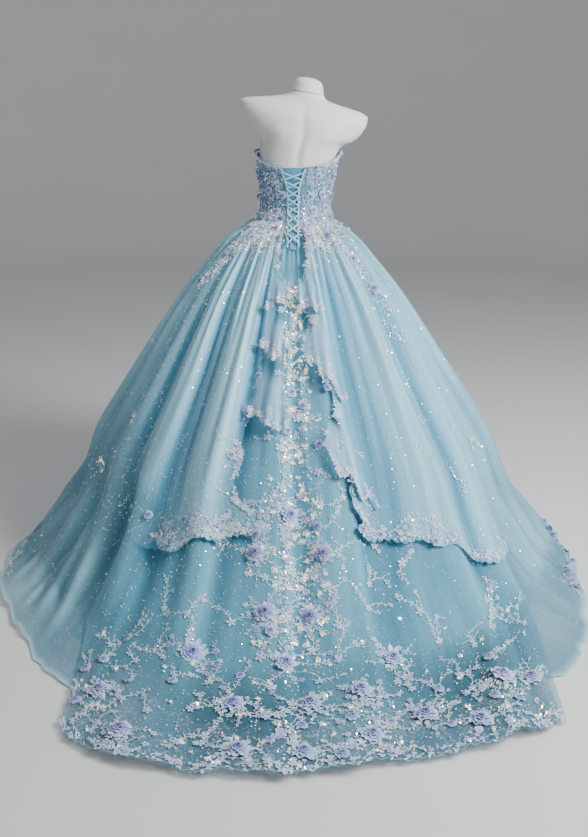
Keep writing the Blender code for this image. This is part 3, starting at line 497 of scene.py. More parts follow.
# ---------------------------------------------------------------- mesh helpers
def make(name, verts, faces, mat, smooth=True, floats=None, vectors=None, colours=None,
         face_mats=None):
    me = bpy.data.meshes.new(name)
    me.from_pydata(np.asarray(verts).tolist(), [], [list(map(int, f)) for f in faces])
    me.update()
    for key, v in (floats or {}).items():
        me.attributes.new(key, "FLOAT", "POINT").data.foreach_set(
            "value", np.asarray(v, np.float32).ravel())
    for key, v in (vectors or {}).items():
        me.attributes.new(key, "FLOAT_VECTOR", "POINT").data.foreach_set(
            "vector", np.asarray(v, np.float32).ravel())
    for key, v in (colours or {}).items():
        c = np.ones((len(me.vertices), 4), np.float32)
        c[:, :3] = v
        me.attributes.new(key, "FLOAT_COLOR", "POINT").data.foreach_set("color", c.ravel())
    for m in (mat if isinstance(mat, (list, tuple)) else [mat]):
        me.materials.append(m)
    if face_mats is not None:
        me.polygons.foreach_set("material_index", np.asarray(face_mats, np.int32))
    if smooth:
        me.shade_smooth()
    o = bpy.data.objects.new(name, me)
    bpy.context.scene.collection.objects.link(o)
    return o


def own(o, slot, *nodes):
    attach(o, "root")
    if nodes:
        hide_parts(*nodes)
    return o


def quads(rows, cols, closed=False):
    idx = np.arange(rows * cols).reshape(rows, cols)
    nxt = np.roll(idx, -1, 1)
    if not closed:
        idx, nxt = idx[:, :-1], nxt[:, :-1]
    return np.stack([idx[:-1], nxt[:-1], nxt[1:], idx[1:]], -1).reshape(-1, 4)


def cloth_coords(p):
    """Metres across and down the cloth, for textures that run with the threads."""
    across = np.zeros(p.shape[:2])
    down = np.zeros(p.shape[:2])
    across[:, 1:] = np.cumsum(np.linalg.norm(np.diff(p, axis=1), axis=-1), 1)
    down[1:] = np.cumsum(np.linalg.norm(np.diff(p, axis=0), axis=-1), 0)
    across = across - across[:, across.shape[1] // 2][:, None]
    return across, down


def grid_normals(p, closed=False):
    if closed:
        du = np.roll(p, -1, 1) - np.roll(p, 1, 1)
    else:
        du = np.gradient(p, axis=1)
    return unit(np.cross(du, np.gradient(p, axis=0)))


def cloth_sheet(name, p, mat, closed=False, floats=None, angles=None, thick=0.0):
    """One sheet of cloth from a grid; rows run down, columns with the angle."""
    rows, cols = p.shape[:2]
    across, down = cloth_coords(p)
    if angles is not None:          # steady across the gathers, whatever the width
        across = angles * .0125
    coords = np.stack([across, down, 0 * down], -1)
    f = quads(rows, cols, closed)
    v = p.reshape(-1, 3)
    fl = {k: (np.asarray(x, float) + np.zeros((rows, cols))).ravel() for k, x in (floats or {}).items()}
    co = coords.reshape(-1, 3)
    if thick:
        n = grid_normals(p, closed).reshape(-1, 3)
        m = len(v)
        v = np.vstack([v, v - n * thick])
        co = np.vstack([co, co])
        fl = {k: np.concatenate([x, x]) for k, x in fl.items()}
        idx = np.arange(m).reshape(rows, cols)
        rim = []
        last = cols if closed else cols - 1
        for j in range(last):
            k = (j + 1) % cols
            rim.append((idx[0, k], idx[0, j], idx[0, j] + m, idx[0, k] + m))
            rim.append((idx[-1, j], idx[-1, k], idx[-1, k] + m, idx[-1, j] + m))
        if not closed:
            for i in range(rows - 1):
                rim.append((idx[i, 0], idx[i + 1, 0], idx[i + 1, 0] + m, idx[i, 0] + m))
                rim.append((idx[i + 1, -1], idx[i, -1], idx[i, -1] + m, idx[i + 1, -1] + m))
        f = np.vstack([f, f[:, ::-1] + m, np.array(rim)])
    return make(name, v, f, mat, True, fl, {"cloth": co})


# ---------------------------------------------------------------- materials
class Mat:
    """A small builder for procedural materials."""

    def __init__(self, name):
        self.m = bpy.data.materials.new(name)
        self.m.use_nodes = True
        self.nt = self.m.node_tree
        self.b = self.nt.nodes["Principled BSDF"]

    def set(self, **values):
        for k, v in values.items():
            self.b.inputs[k.replace("_", " ")].default_value = v
        return self

    def node(self, kind, **props):
        n = self.nt.nodes.new(kind)
        for k, v in props.items():
            setattr(n, k, v)
        return n

    def link(self, a, b):
        self.nt.links.new(a, b)

    def attr(self, name, out="Fac"):
        n = self.node("ShaderNodeAttribute", attribute_name=name)
        return n.outputs[out]

    def scaled(self, vec, scale):
        n = self.node("ShaderNodeVectorMath", operation="MULTIPLY")
        self.link(vec, n.inputs[0])
        n.inputs[1].default_value = scale
        return n.outputs[0]

    def noise(self, vec, scale=1.0, detail=3.0, rough=.55, dims="3D"):
        n = self.node("ShaderNodeTexNoise", noise_dimensions=dims)
        self.link(vec, n.inputs["Vector"])
        n.inputs["Scale"].default_value = scale
        n.inputs["Detail"].default_value = detail
        n.inputs["Roughness"].default_value = rough
        return n.outputs["Fac"]

    def voronoi(self, vec, scale, feature="F1", out="Distance", rand=1.0):
        n = self.node("ShaderNodeTexVoronoi", feature=feature)
        self.link(vec, n.inputs["Vector"])
        n.inputs["Scale"].default_value = scale
        n.inputs["Randomness"].default_value = rand
        return n.outputs[out]

    def math(self, op, a, b=0.0, c=0.0, clamp=False):
        n = self.node("ShaderNodeMath", operation=op)
        n.use_clamp = clamp
        for i, v in enumerate((a, b, c)):
            if isinstance(v, (int, float)):
                n.inputs[i].default_value = v
            else:
                self.link(v, n.inputs[i])
        return n.outputs[0]

    def range(self, v, a, b, c, d, smooth=True):
        n = self.node("ShaderNodeMapRange")
        n.interpolation_type = "SMOOTHSTEP" if smooth else "LINEAR"
        self.link(v, n.inputs["Value"])
        for k, x in (("From Min", a), ("From Max", b), ("To Min", c), ("To Max", d)):
            n.inputs[k].default_value = x
        return n.outputs["Result"]

    def mix(self, f, a, b, blend="MIX"):
        n = self.node("ShaderNodeMix", data_type="RGBA", blend_type=blend)
        for i, v in ((0, f), (6, a), (7, b)):
            if isinstance(v, (int, float)):
                n.inputs[i].default_value = v
            elif isinstance(v, tuple):
                n.inputs[i].default_value = (*v, 1) if len(v) == 3 else v
            else:
                self.link(v, n.inputs[i])
        return n.outputs[2]

    def to(self, socket, value):
        self.link(value, self.b.inputs[socket])
        return self

    def bump(self, height, strength=.3, distance=.001):
        n = self.node("ShaderNodeBump")
        n.inputs["Strength"].default_value = strength
        n.inputs["Distance"].default_value = distance
        self.link(height, n.inputs["Height"])
        self.link(n.outputs[0], self.b.inputs["Normal"])
        return self


def tulle_material(name, valley_shade_colour, crest_highlight_colour, alpha, sheen=.25, streak=.10, dense=.34,
                   deep=(.03, .15, .23), fine=60):
    """Sheer net: denser on fold flanks, streaked along the gathers, with painted shade in the fold valleys, painted
    highlight on the crests, and painted shade mixed in by the "shade" attribute.
    """
    t = Mat(name).set(Roughness=.62, Sheen_Weight=sheen, Sheen_Roughness=.45,
                      Specular_IOR_Level=.25)
    t.b.inputs["Sheen Tint"].default_value = (.86, .95, 1, 1)
    c = t.attr("cloth", "Vector")
    s1 = t.noise(t.scaled(c, (fine, .7, 1)), 1, 3, .5)
    s2 = t.noise(t.scaled(c, (fine * .27, .5, 1)), 1, 2, .5)
    both = t.math("ADD", t.math("MULTIPLY", s1, .40), t.math("MULTIPLY", s2, .60))
    lines = t.range(both, .28, .72, 0, 1)
    fold = t.attr("fold")
    fold_shading_mix = t.math("ADD", t.math("MULTIPLY", fold, .74), t.math("MULTIPLY_ADD", lines, .34, -.04), clamp=True)
    # painted shade in the fold valleys and painted highlight on the crests, from the fold attribute and the streaks
    # along the gathers
    colour = t.mix(fold_shading_mix, valley_shade_colour, crest_highlight_colour)
    # painted shade: the "shade" attribute mixes in the deep colour
    t.to("Base Color", t.mix(t.attr("shade"), colour, deep))
    a = t.math("MULTIPLY_ADD", t.attr("dense"), dense, alpha)
    a = t.math("ADD", a, t.math("MULTIPLY_ADD", lines, streak * 2, -streak))
    a = t.math("ADD", a, t.math("MULTIPLY", t.attr("shade"), .32))
    a = t.math("MULTIPLY", a, t.attr("cover"), clamp=True)
    t.to("Alpha", a)
    return t.m


def lace_material(name, thread, shade, scale, cover, low, rough=.5):
    """Floral net: leaf-like blobs and fine threads on a sheer ground."""
    t = Mat(name).set(Roughness=rough, Sheen_Weight=.15, Specular_IOR_Level=.4)
    c = t.attr("cloth", "Vector")
    warp = t.node("ShaderNodeVectorMath", operation="ADD")
    nz = t.node("ShaderNodeTexNoise")
    t.link(c, nz.inputs["Vector"])
    nz.inputs["Scale"].default_value = scale * .8
    sc = t.node("ShaderNodeVectorMath", operation="SCALE")
    t.link(nz.outputs["Color"], sc.inputs[0])
    sc.inputs["Scale"].default_value = .012
    t.link(c, warp.inputs[0])
    t.link(sc.outputs[0], warp.inputs[1])
    w = warp.outputs[0]
    blob = t.voronoi(w, scale)
    cell = t.voronoi(w, scale * 2.6, "DISTANCE_TO_EDGE")
    body = t.range(blob, .30, .42, 1, 0)
    thread_line = t.range(cell, .02, .07, .75, 0)
    pattern = t.math("MAXIMUM", body, thread_line)
    t.to("Alpha", t.math("MULTIPLY", t.math("MULTIPLY_ADD", pattern, cover, low), t.attr("cover"),
                         clamp=True))
    t.to("Base Color", t.mix(blob, thread, shade))
    t.bump(pattern, .5, .0012)
    return t.m


ICE_DEEP = (.135, .33, .44)
ICE_MID = (.33, .56, .67)
ICE_LIGHT = (.60, .80, .88)
ICE_PALE = (.72, .87, .93)
LILAC = (.40, .42, .66)
LILAC_PALE = (.62, .64, .84)
SILVER = (.78, .82, .92)

M = {}
t = Mat("satin_lining").set(Roughness=.38, Sheen_Weight=.2, Specular_IOR_Level=.5)
c = t.attr("cloth", "Vector")
t.to("Base Color", t.mix(t.noise(t.scaled(c, (30, 1.5, 1)), 1, 3), (.10, .34, .50), (.17, .45, .62)))
t.bump(t.noise(t.scaled(c, (300, 40, 1)), 1, 2), .12, .001)
M["lining"] = t.m
# each tulle: painted valley-shade colour, painted crest-highlight colour, opacity; deep is the painted shade colour
M["tulle"] = tulle_material("glitter_tulle", (.08, .32, .46), (.40, .74, .88), .50, fine=40)
M["train"] = tulle_material("train_tulle", (.035, .23, .37), (.18, .51, .69), .62, deep=(.010, .080, .130), fine=46)
M["overlay"] = tulle_material("overlay_tulle", (.06, .33, .54), (.46, .84, 1.0), .66, .30, fine=80)
M["cascade"] = tulle_material("flounce_tulle", (.16, .42, .68), (.46, .74, .95), .60, .34, fine=90)
M["lace"] = lace_material("beaded_lace", (.74, .84, .95), (.50, .60, .84), 62, .62, .06)
M["hip"] = lace_material("hip_lace", (.74, .84, .95), (.50, .58, .84), 70, .50, .03)

# embroidery thread: tinted by the "tint" attribute
t = Mat("embroidery").set(Roughness=.55, Sheen_Weight=.25, Specular_IOR_Level=.45, Alpha=.84)
v = t.node("ShaderNodeTexCoord").outputs["Object"]
n = t.noise(t.scaled(v, (900, 900, 900)), 1, 1)
t.to("Base Color", t.mix(t.range(n, .3, .7, 0, .22), t.attr("tint", "Color"), (.45, .55, .70)))
t.bump(n, .25, .0008)
M["thread"] = t.m

t = Mat("organza_rose").set(Roughness=.55, Sheen_Weight=.5, Specular_IOR_Level=.35,
                            Subsurface_Weight=.15, Subsurface_Scale=.004)
t.b.inputs["Subsurface Radius"].default_value = (.6, .7, 1.0)
v = t.node("ShaderNodeTexCoord").outputs["Object"]
n = t.noise(v, 160, 3)
t.to("Base Color", t.mix(t.range(n, .25, .75, 0, .22), t.attr("tint", "Color"), (.52, .56, .80)))
M["rose"] = t.m

# sequins and glitter glow a little though they are no lamps: painted glints
t = Mat("sequin").set(Roughness=.14, Metallic=.6, Specular_IOR_Level=.8, Emission_Strength=.52)
v = t.node("ShaderNodeTexCoord").outputs["Object"]
n = t.noise(v, 220, 1)
sequin_glow_colour = t.mix(t.range(n, .35, .65, 0, .4), t.attr("tint", "Color"), (.95, .97, 1.0))
t.to("Base Color", sequin_glow_colour)
t.to("Emission Color", sequin_glow_colour)
M["sequin"] = t.m

t = Mat("glass_bead").set(Roughness=.12, Metallic=.1, Specular_IOR_Level=.9, Coat_Weight=.6)
v = t.node("ShaderNodeTexCoord").outputs["Object"]
t.to("Base Color", t.mix(t.noise(v, 300, 1), t.attr("tint", "Color"), (.80, .86, .96)))
M["bead"] = t.m

t = Mat("blue_ribbon").set(Roughness=.28, Sheen_Weight=.2, Specular_IOR_Level=.6)
c = t.attr("cloth", "Vector")
n = t.noise(t.scaled(c, (900, 60, 1)), 1, 2)
t.to("Base Color", t.mix(n, (.26, .58, .78), (.50, .80, .95)))
t.bump(n, .15, .0004)
M["ribbon"] = t.m

t = Mat("lacing_panel").set(Roughness=.36, Sheen_Weight=.15, Specular_IOR_Level=.5)
c = t.attr("cloth", "Vector")
n = t.noise(t.scaled(c, (420, 30, 1)), 1, 2)
t.to("Base Color", t.mix(n, (.055, .24, .40), (.13, .40, .60)))
t.bump(n, .15, .0005)
M["panel"] = t.m

t = Mat("bodice_satin").set(Roughness=.42, Sheen_Weight=.25, Specular_IOR_Level=.5)
c = t.attr("cloth", "Vector")
blob = t.voronoi(c, 95)
cell = t.voronoi(c, 210, "DISTANCE_TO_EDGE")
pattern = t.math("MAXIMUM", t.range(blob, .26, .44, 1, 0), t.range(cell, .02, .08, .7, 0))
# the lace pattern's lighter colour is kept low: partly the satin's own colour, partly painted shade
t.to("Base Color", t.mix(pattern, (.045, .17, .27), (.30, .46, .66)))
t.to("Roughness", t.range(pattern, 0, 1, .38, .6))
t.bump(pattern, .6, .0008)
M["bodice"] = t.m

t = Mat("form_shell").set(Roughness=.55, Specular_IOR_Level=.35)
v = t.node("ShaderNodeTexCoord").outputs["Object"]
n = t.noise(v, 14, 4)
t.to("Base Color", t.mix(n, (.72, .71, .68), (.80, .79, .76)))
t.bump(t.noise(v, 900, 2), .04, .0004)
M["form"] = t.m

t = Mat("stand_metal").set(Roughness=.3, Metallic=.9)
v = t.node("ShaderNodeTexCoord").outputs["Object"]
t.to("Base Color", t.mix(t.noise(t.scaled(v, (300, 300, 8)), 1, 2), (.55, .56, .57), (.72, .72, .71)))
M["pole"] = t.m

t = Mat("stand_plate").set(Roughness=.5, Specular_IOR_Level=.4)
v = t.node("ShaderNodeTexCoord").outputs["Object"]
n = t.noise(v, 260, 3)
t.to("Base Color", t.mix(n, (.70, .70, .67), (.80, .80, .77)))
t.bump(n, .1, .0005)
M["plate"] = t.m

# ---------------------------------------------------------------- skirt
def layer_grid(layer, first, last, cols, rows, s_end=13.0, lift=0.0, s_first=0.0):
    """A grid whose columns follow the fold lines."""
    u = np.linspace(0, 1, cols)[None]
    lv = s_first + (s_end - s_first) * np.linspace(0, 1, rows)[:, None] ** .92
    t = np.clip(lv / 11.0, 0, 1)
    a = (first[0] + (last[0] - first[0]) * u) * (1 - t) + (first[1] + (last[1] - first[1]) * u) * t
    return a, lv + 0 * a


def fold_facts(layer, a, s, p):
    """Crest or trough, and how side-on the cloth lies."""
    f = folds(layer, a, s) + fine(a, s) * 1.6
    # crest or trough value, which picks the painted highlight or painted shade colour of the tulle
    f = .5 + f / .036
    n = grid_normals(p)
    base = face_normal(lambda x, y: plain_skirt(layer, x, np.clip(y, 0, 13)), a, s)
    dense = 1 - np.clip(np.sum(n * base, -1), 0, 1)
    return np.clip(f, 0, 1), np.clip(dense * 4.0, 0, 1)


def skirt_sheet(name, layer, first, last, cols, rows, mat, slot, nodes, cover=None, lift=0.0):
    a, s = layer_grid(layer, first, last, cols, rows)
    across = np.linspace(-1, 1, cols)[None] + 0 * a
    side = ease(np.abs(across), .86, 1.0)
    if layer == "train":            # the side edges wander a little
        a = a + side * np.sign(across) * 1.1 * np.sin(s * 1.8 + across) * ease(s, 4, 9)
    p = cloth(layer, a, s, lift + 0 * a)
    f, d = fold_facts(layer, a, s, p)
    cov = np.ones_like(a) if cover is None else cover(a, s)
    rim = ease(s, 12.84, 12.93)
    if layer == "tulle":            # sheerer and darker where it spreads (the darkening is painted shade), with a bright rolled hem in the painted crest-highlight colour
        shade = (.62 * ease(s, 4.0, 10.0) + .20 * ease(s, 11, 12.4)) * (1 - .8 * rim)
        f, d = np.maximum(f, rim), np.maximum(d, rim)
    else:                           # painted highlight down the middle, a painted shade line at the centre top, and painted shade darkest along the hem
        light = .70 * np.exp(-((a - 3) / 10) ** 2) * (1 - ease(s, 9, 11.2))
        light = light + .35 * np.exp(-(a / 12) ** 2) * (1 - ease(s, 2.6, 4.2))
        centre_line_shade = 1.3 * np.exp(-((a - .3) / 1.5) ** 2) * (1 - ease(s, 2.8, 4.0))
        f = np.clip(f + light - centre_line_shade, 0, 1)
        shade = (.20 * ease(s, 6, 10.2) + .78 * ease(s, 10.2, 12.1)) * (1 - .40 * side)
        cov = cov * (1 - .30 * side) * (1 - .60 * ease(s, 12.86, 12.98))
    # the painted shade waxes and wanes round the skirt
    shade = shade * (.80 + .20 * np.sin(np.radians(a * 9 + 20)) * np.sin(s * 2.2))
    o = cloth_sheet(name, p, M[mat], False, {"fold": f, "dense": d, "cover": cov, "shade": shade}, a)
    return own(o, slot, *nodes)


# lining: one closed satin skirt
a, s = layer_grid("lining", (-180, -180), (180, 180), 241, 40)
a, s = a[:, :-1], s[:, :-1]
p = cloth("lining", a, s)
lining = own(cloth_sheet("skirt_lining_satin", p, M["lining"], True, None, a), "satin_lining",
             "lining_back", "lining_left", "lining_front", "lining_right")

tulle_left = skirt_sheet("tulle_left_net", "tulle", (38, 38), (116, 114), 250, 62, "tulle",
                         "glitter_tulle", ["tulle_left"])
tulle_front = skirt_sheet("tulle_front_net", "tulle", (116, 114), (231, 236), 290, 62, "tulle",
                          "glitter_tulle", ["tulle_front"])
tulle_right = skirt_sheet("tulle_right_net", "tulle", (-129, -124), (-38, -38), 260, 62, "tulle",
                          "glitter_tulle", ["tulle_right"])
train = skirt_sheet("train_net", "train", (-54, -54), (42, 42), 370, 92, "train",
                    "glitter_tulle", ["train_panel"])

# the hem lace: a band with a scalloped inner edge
u = np.linspace(0, 1, 370)[None]
v = np.linspace(0, 1, 10)[:, None]
aa = -53.4 + (94.8) * u + 0 * v
inner = 12.12 + .16 * np.abs(np.sin(np.radians(aa * 32))) + .07 * np.sin(np.radians(aa * 9 + 40))
ss = inner + (12.995 - inner) * v
hem_lace = own(cloth_sheet("hem_lace_net", cloth("train", aa, ss, .0030 + 0 * aa), M["lace"], False,
                           {"cover": .22 + .16 * np.sin(np.radians(aa * 23)) * np.sin(ss * 9)}), "beaded_lace", "train_hem_lace")


# ---------------------------------------------------------------- overlays
def overlay_at(a, s, lift=0.0):
    """The overlay tulle's face at an angle and level."""
    rise = .003 + (OVERLAY_LIFT - .003) * ease(s, .5, 3.0)
    return cloth("train", a, s, rise + lift, OVERLAY_SHARE, .8 * ease(s, 1.0, 5.0))


def overlay_angles(edge, hem, u, v, zig=0.0):
    top = edge[0][0]
    s_hem = smooth_table(column(hem, 0), column(hem, 1), u)
    s_hem = s_hem + zig * (.055 * np.abs(np.sin(u * 26 * np.pi)) * (.6 + .4 * np.sin(u * 11)) + .045 * np.sin(u * 37))
    s = top + (s_hem - top) * v
    a0 = smooth_table(column(edge, 0), column(edge, 1), s)
    a1 = smooth_table(column(edge, 0), column(edge, 2), s)
    side = np.sign(edge[0][2])
    # the inner edge runs in small points and bays
    wander = side * (.55 * np.sin(s * 7.5) + .35 * np.sin(s * 17 + 1)) * ease(s, .8, 2.0)
    a = a0 + (a1 - a0) * u + zig * wander * (1 - ease(u, 0, .12))
    return a, s


SIDES = (("left", OVERLAY_LEFT_EDGE, OVERLAY_LEFT_HEM), ("right", OVERLAY_RIGHT_EDGE, OVERLAY_RIGHT_HEM))
overlays = {}
for side, edge, hem in SIDES:
    u = np.linspace(0, 1, 260)[None]
    v = np.linspace(0, 1, 84)[:, None]
    uu, vv = u + 0 * v, v + 0 * u
    if side == "right":
        uu = uu[:, ::-1]
    a, s = overlay_angles(edge, hem, uu, vv, 1.0)
    p = overlay_at(a, s)
    # a soft ripple along the hem, painted as highlight and shade from the own folds
    f, d = fold_facts("train", a, s, p)
    f = np.clip(f + read_map(OWN, a, s) * 30, 0, 1)
    # the outer side and the far part of the hem melt into the skirt
    far = .45 if side == "left" else .74
    cov = (1 - .96 * ease(uu, .70, .99)) * (1 - .97 * ease(vv, .70, .97) * ease(uu, far, far + .16))
    o = cloth_sheet("overlay_%s_net" % side, p, M["overlay"], False,
                    # painted shade, darker lower down on the overlay
                    {"fold": f, "dense": d, "cover": cov, "shade": .26 * ease(s, 3.5, 8.5)}, a)
    overlays[side] = own(o, "overlay_tulle", "overlay_" + side)
    v = OVERLAY_BAND + .012 * np.sin(np.linspace(0, 60, 260))[None] + np.linspace(0, 1, 7)[:, None] * (
        .996 - OVERLAY_BAND)
    uu = u + 0 * v
    v = v + 0 * u
    if side == "right":
        uu, v = uu[:, ::-1], v[:, ::-1]
    v = np.clip(v, 0, .998)
    a, s = overlay_angles(edge, hem, uu, v, 1.0)
    far = .50 if side == "left" else .82
    patch = .55 + .45 * np.sin(uu * 23 + 1) * np.sin(uu * 9)
    o = cloth_sheet("overlay_lace_%s_net" % side, overlay_at(a, s, .0025 + 0 * a), M["lace"], False,
                    {"cover": .75 * patch * (1 - ease(uu, far, far + .12))})
    own(o, "beaded_lace", "overlay_lace_" + side)


# ---------------------------------------------------------------- flounces
def flounce_at(a, s, lift, row):
    name, a0, a1, s0, s1 = row
    u = (a - a0) / (a1 - a0)
    v = (s - s0) / (s1 - s0)
    swell = .007 * ease(v, 0, 1) * (1 + np.cos(u * 4 * np.pi + .7 * np.sin(v * 3))) / 2
    swell = swell + .0028 * ease(v, .25, 1) * np.sin(u * 9 * np.pi + 2 * v)
    return cloth("train", a, s, CASCADE_LIFT - .001 + swell + lift, OVERLAY_SHARE, .4)


# lower edge of each flounce: share across, share of the drop
FLOUNCE_HEMS = [
    [(0, .62), (.30, .80), (.55, .74), (.80, .98), (1, .90)],
    [(0, 1.0), (.22, .86), (.45, .96), (.70, .66), (1, .60)],
    [(0, 1.0), (.18, .93), (.42, .88), (.62, .72), (.86, .66), (1, .60)],
    [(0, .94), (.25, 1.0), (.45, .78), (.70, .84), (1, .58)],
    [(0, .98), (.16, 1.0), (.34, .74), (.52, .80), (.70, .50), (.86, .56), (1, .42)],
    [(0, 1.0), (.24, .84), (.40, .90), (.62, .60), (.80, .66), (1, .40)]]


def flounce_outline(u, v, row, k):
    """A pointed, uneven lower edge; the outer side runs into the overlay."""
    name, a0, a1, s0, s1 = row
    hem = FLOUNCE_HEMS[k]
    drop = smooth_table(column(hem, 0), column(hem, 1), u) + .018 * np.sin(u * 31 + k)
    s = s0 + (s1 - s0) * v * np.minimum(drop, 1)
    lean = (a1 - a0) * (.05 * np.sin(v * 5.5 + k) + .03 * np.sin(v * 14 + 2 * k)) * v
    return a0 + (a1 - a0) * (u * (.80 + .20 * ease(v, 0, .8)) + (.10 if k < 3 else .10) * (1 - v)) + lean, s


for k, row in enumerate(CASCADES):
    u = np.linspace(0, 1, 60)[None]
    v = np.linspace(0, 1, 34)[:, None]
    uu, vv = u + 0 * v, v + 0 * u
    a, s = flounce_outline(uu, vv, row, k)
    p = flounce_at(a, s, 0 * a, row)
    f, d = fold_facts("train", a, s, p)
    outer = uu if k < 3 else 1 - uu           # 1 at the side away from the centre back
    cov = ease(vv, 0, .35) * (1 - .9 * ease(outer, .62, 1.0) * (1 - ease(vv, .75, 1)))
    # painted highlight and shade in stripes across each flounce, besides its fold value
    o = cloth_sheet(row[0] + "_net", p, M["cascade"], False,
                    {"fold": np.clip(f + .25 * np.sin(uu * 17 + 3 * vv), 0, 1), "dense": d, "cover": cov,
                     "shade": 0}, a)
    own(o, "overlay_tulle", row[0])

# ---------------------------------------------------------------- hip lace
def hip_outline(u, v, row):
    name, a0, a1, s0, s1 = row
    low = .58 + .30 * np.abs(np.sin(u * np.pi * 4.5 + .4)) + .10 * np.sin(u * 23)
    s = s0 + (s1 - s0) * v * np.clip(low, .3, 1)
    return a0 + (a1 - a0) * u + 1.0 * np.sin(v * 7 + u * 3), s


def hip_at(a, s, lift):
    rise = (.003 + (OVERLAY_LIFT - .003) * ease(s, .5, 3.0)) + .0030
    p = cloth("train", a, s, rise + lift, OVERLAY_SHARE, .8 * ease(s, 1.0, 5.0))
    q = cloth("tulle", a, s, .0030 + lift)
    w = ease(np.abs(wrap(a)), 54, 62)[..., None]      # past the train's sides it lies on the side tulle
    return p * (1 - w) + q * w


for row in HIP_LACE:
    u = np.linspace(0, 1, 110)[None]
    v = np.linspace(0, 1, 26)[:, None]
    a, s = hip_outline(u + 0 * v, v + 0 * u, row)
    edge_fade = ease(1 - np.abs(2 * u - 1) + 0 * v, 0, .1)
    o = cloth_sheet(row[0] + "_net", hip_at(a, s, 0 * a), M["hip"], False, {"cover": edge_fade})
    own(o, "beaded_lace", row[0])

# ---------------------------------------------------------------- bodice
PANELS = [("bodice_front", 152, 208, 0), ("bodice_side_left", 84, 152, 0),
          ("bodice_side_right", 208, 276, 0), ("bodice_back_left", 10, 84, 1),
          ("bodice_back_right", -84, -10, -1)]
BONES = [16, 32, 50, 68, 84, 104, 124, 140, 152, 166, 180]


def bodice_fine(a, z, lift=0.0):
    """The bodice with raised boning channels and sunk seams."""
    d = np.zeros_like(a)
    m = np.abs(np.where(a > 180, 360 - a, a))
    for b in BONES:
        off = (m - b) * .0023
        d += .0011 * np.exp(-(off / .0028) ** 4) - .0005 * (np.exp(-((off - .0042) / .0008) ** 2)
                                                         + np.exp(-((off + .0042) / .0008) ** 2))
    return bodice(a, z, d + lift)


for name, lo, hi, opening in PANELS:
    u = np.linspace(0, 1, 84)[None]
    h = np.linspace(0, 1, 24)[:, None]
    z = WAIST_SEAM_Z + (bodice_top(lo + (hi - lo) * u) - WAIST_SEAM_Z) * (1 - h)
    a_lo, a_hi = lo + 0 * z, hi + 0 * z
    if opening:
        half = smooth_table(column(OPENING, 0), column(OPENING, 1), z)
        w = smooth_table(column(BODICE_ROWS, 0), column(BODICE_ROWS, 2), z)
        cx = smooth_table(column(BODICE_ROWS, 0), column(BODICE_ROWS, 1), z)
        edge = np.degrees(np.arcsin((opening * half - cx) / w))
        a_lo, a_hi = (edge, a_hi) if opening > 0 else (a_lo, edge)
    a = a_lo + (a_hi - a_lo) * u
    z = WAIST_SEAM_Z + (bodice_top(a) - WAIST_SEAM_Z) * (1 - h)
    o = cloth_sheet(name + "_satin", bodice_fine(a, z), M["bodice"], False, None, None, .0014)
    own(o, "bodice_lace", name)

# lace edge along the top: a small ruffle with a scalloped rim
aa = np.linspace(28, 332, 620)[None] + 0 * np.zeros((6, 1))
ring_z = np.minimum(bodice_top(aa[:1]), 1.300)
t = np.linspace(0, 1, 6)[:, None]
scallop = .0035 * np.abs(np.sin(np.radians(aa * 17.5)))
zz = ring_z + .0085 - .022 * t + scallop * (1 - t)
lift = .0088 - .0034 * t + .0022 * np.sin(np.radians(aa * 35)) * (1 - t)
p = bodice(aa, np.minimum(zz, 1.315), lift)
p[..., 2] = zz
own(cloth_sheet("top_lace_net", p, M["lace"], False, {"cover": 1 + 0 * aa}), "beaded_lace", "top_lace")

# ---------------------------------------------------------------- lacing
mz = np.linspace(1.241, .988, 90)[:, None]
mh = smooth_table(column(MODESTY, 0), column(MODESTY, 1), mz)
mx = np.linspace(-1, 1, 20)[None]
sink = -.0040 * ease(mz, 1.098, 1.125)
pucker = .0007 * np.sin(mz * 520 + 2 * mx) * np.sin(mx * 6)
p, n, _ = back_face(mh * mx, mz + 0 * mx, sink + pucker + 0 * mx)
own(cloth_sheet("modesty_satin", p, M["panel"], False, None, None, .0009), "blue_satin", "modesty_panel")

def tube(points, radius, sides=8):
    """Verts and faces of a round tube along a path."""
    pts = np.asarray(points, float)
    tan = unit(np.gradient(pts, axis=0))
    ref = np.array([0.0, 0, 1]) if abs(tan[0][2]) < .9 else np.array([1.0, 0, 0])
    e1 = unit(np.cross(tan, ref))
    e2 = np.cross(tan, e1)
    th = np.arange(sides) * 2 * np.pi / sides
    ring = (e1[:, None] * np.cos(th)[None, :, None] + e2[:, None] * np.sin(th)[None, :, None])
    v = (pts[:, None] + ring * radius).reshape(-1, 3)
    f = [tuple(q) for q in quads(len(pts), sides, True)]
    f += [tuple(range(sides))[::-1], tuple(range(len(v) - sides, len(v)))]
    return v, f


# the panel's bound top edge
bx = np.linspace(-.97, .97, 40) * float(smooth_table(column(MODESTY, 0), column(MODESTY, 1), 1.2405))
p, _, _ = back_face(bx, 1.2405 + 0 * bx, -.0035 + 0 * bx)
v, f = tube(p, .0015)
own(make("modesty_edge", v, f, M["ribbon"], vectors={"cloth": v}), "blue_satin")

tz = np.linspace(1.236, LACING_END_Z, 60)
half = smooth_table(column(OPENING, 0), column(OPENING, 1), tz)
for side, sign in (("left", 1), ("right", -1)):
    x0, x1 = sign * (half + .0012), sign * (half + .0012 + TAPE_WIDTH)
    w = np.linspace(0, 1, 4)[None]
    cols = (x0[:, None] + (x1 - x0)[:, None] * w)
    if sign < 0:
        cols = cols[:, ::-1]
    p, n, _ = back_face(cols, tz[:, None] + 0 * cols, .0036 + .0004 * np.sin(w * np.pi) + 0 * cols)
    own(cloth_sheet("loop_tape_%s_satin" % side, p, M["ribbon"], False, None, None, .0008),
        "blue_satin", "loop_tape_" + side)

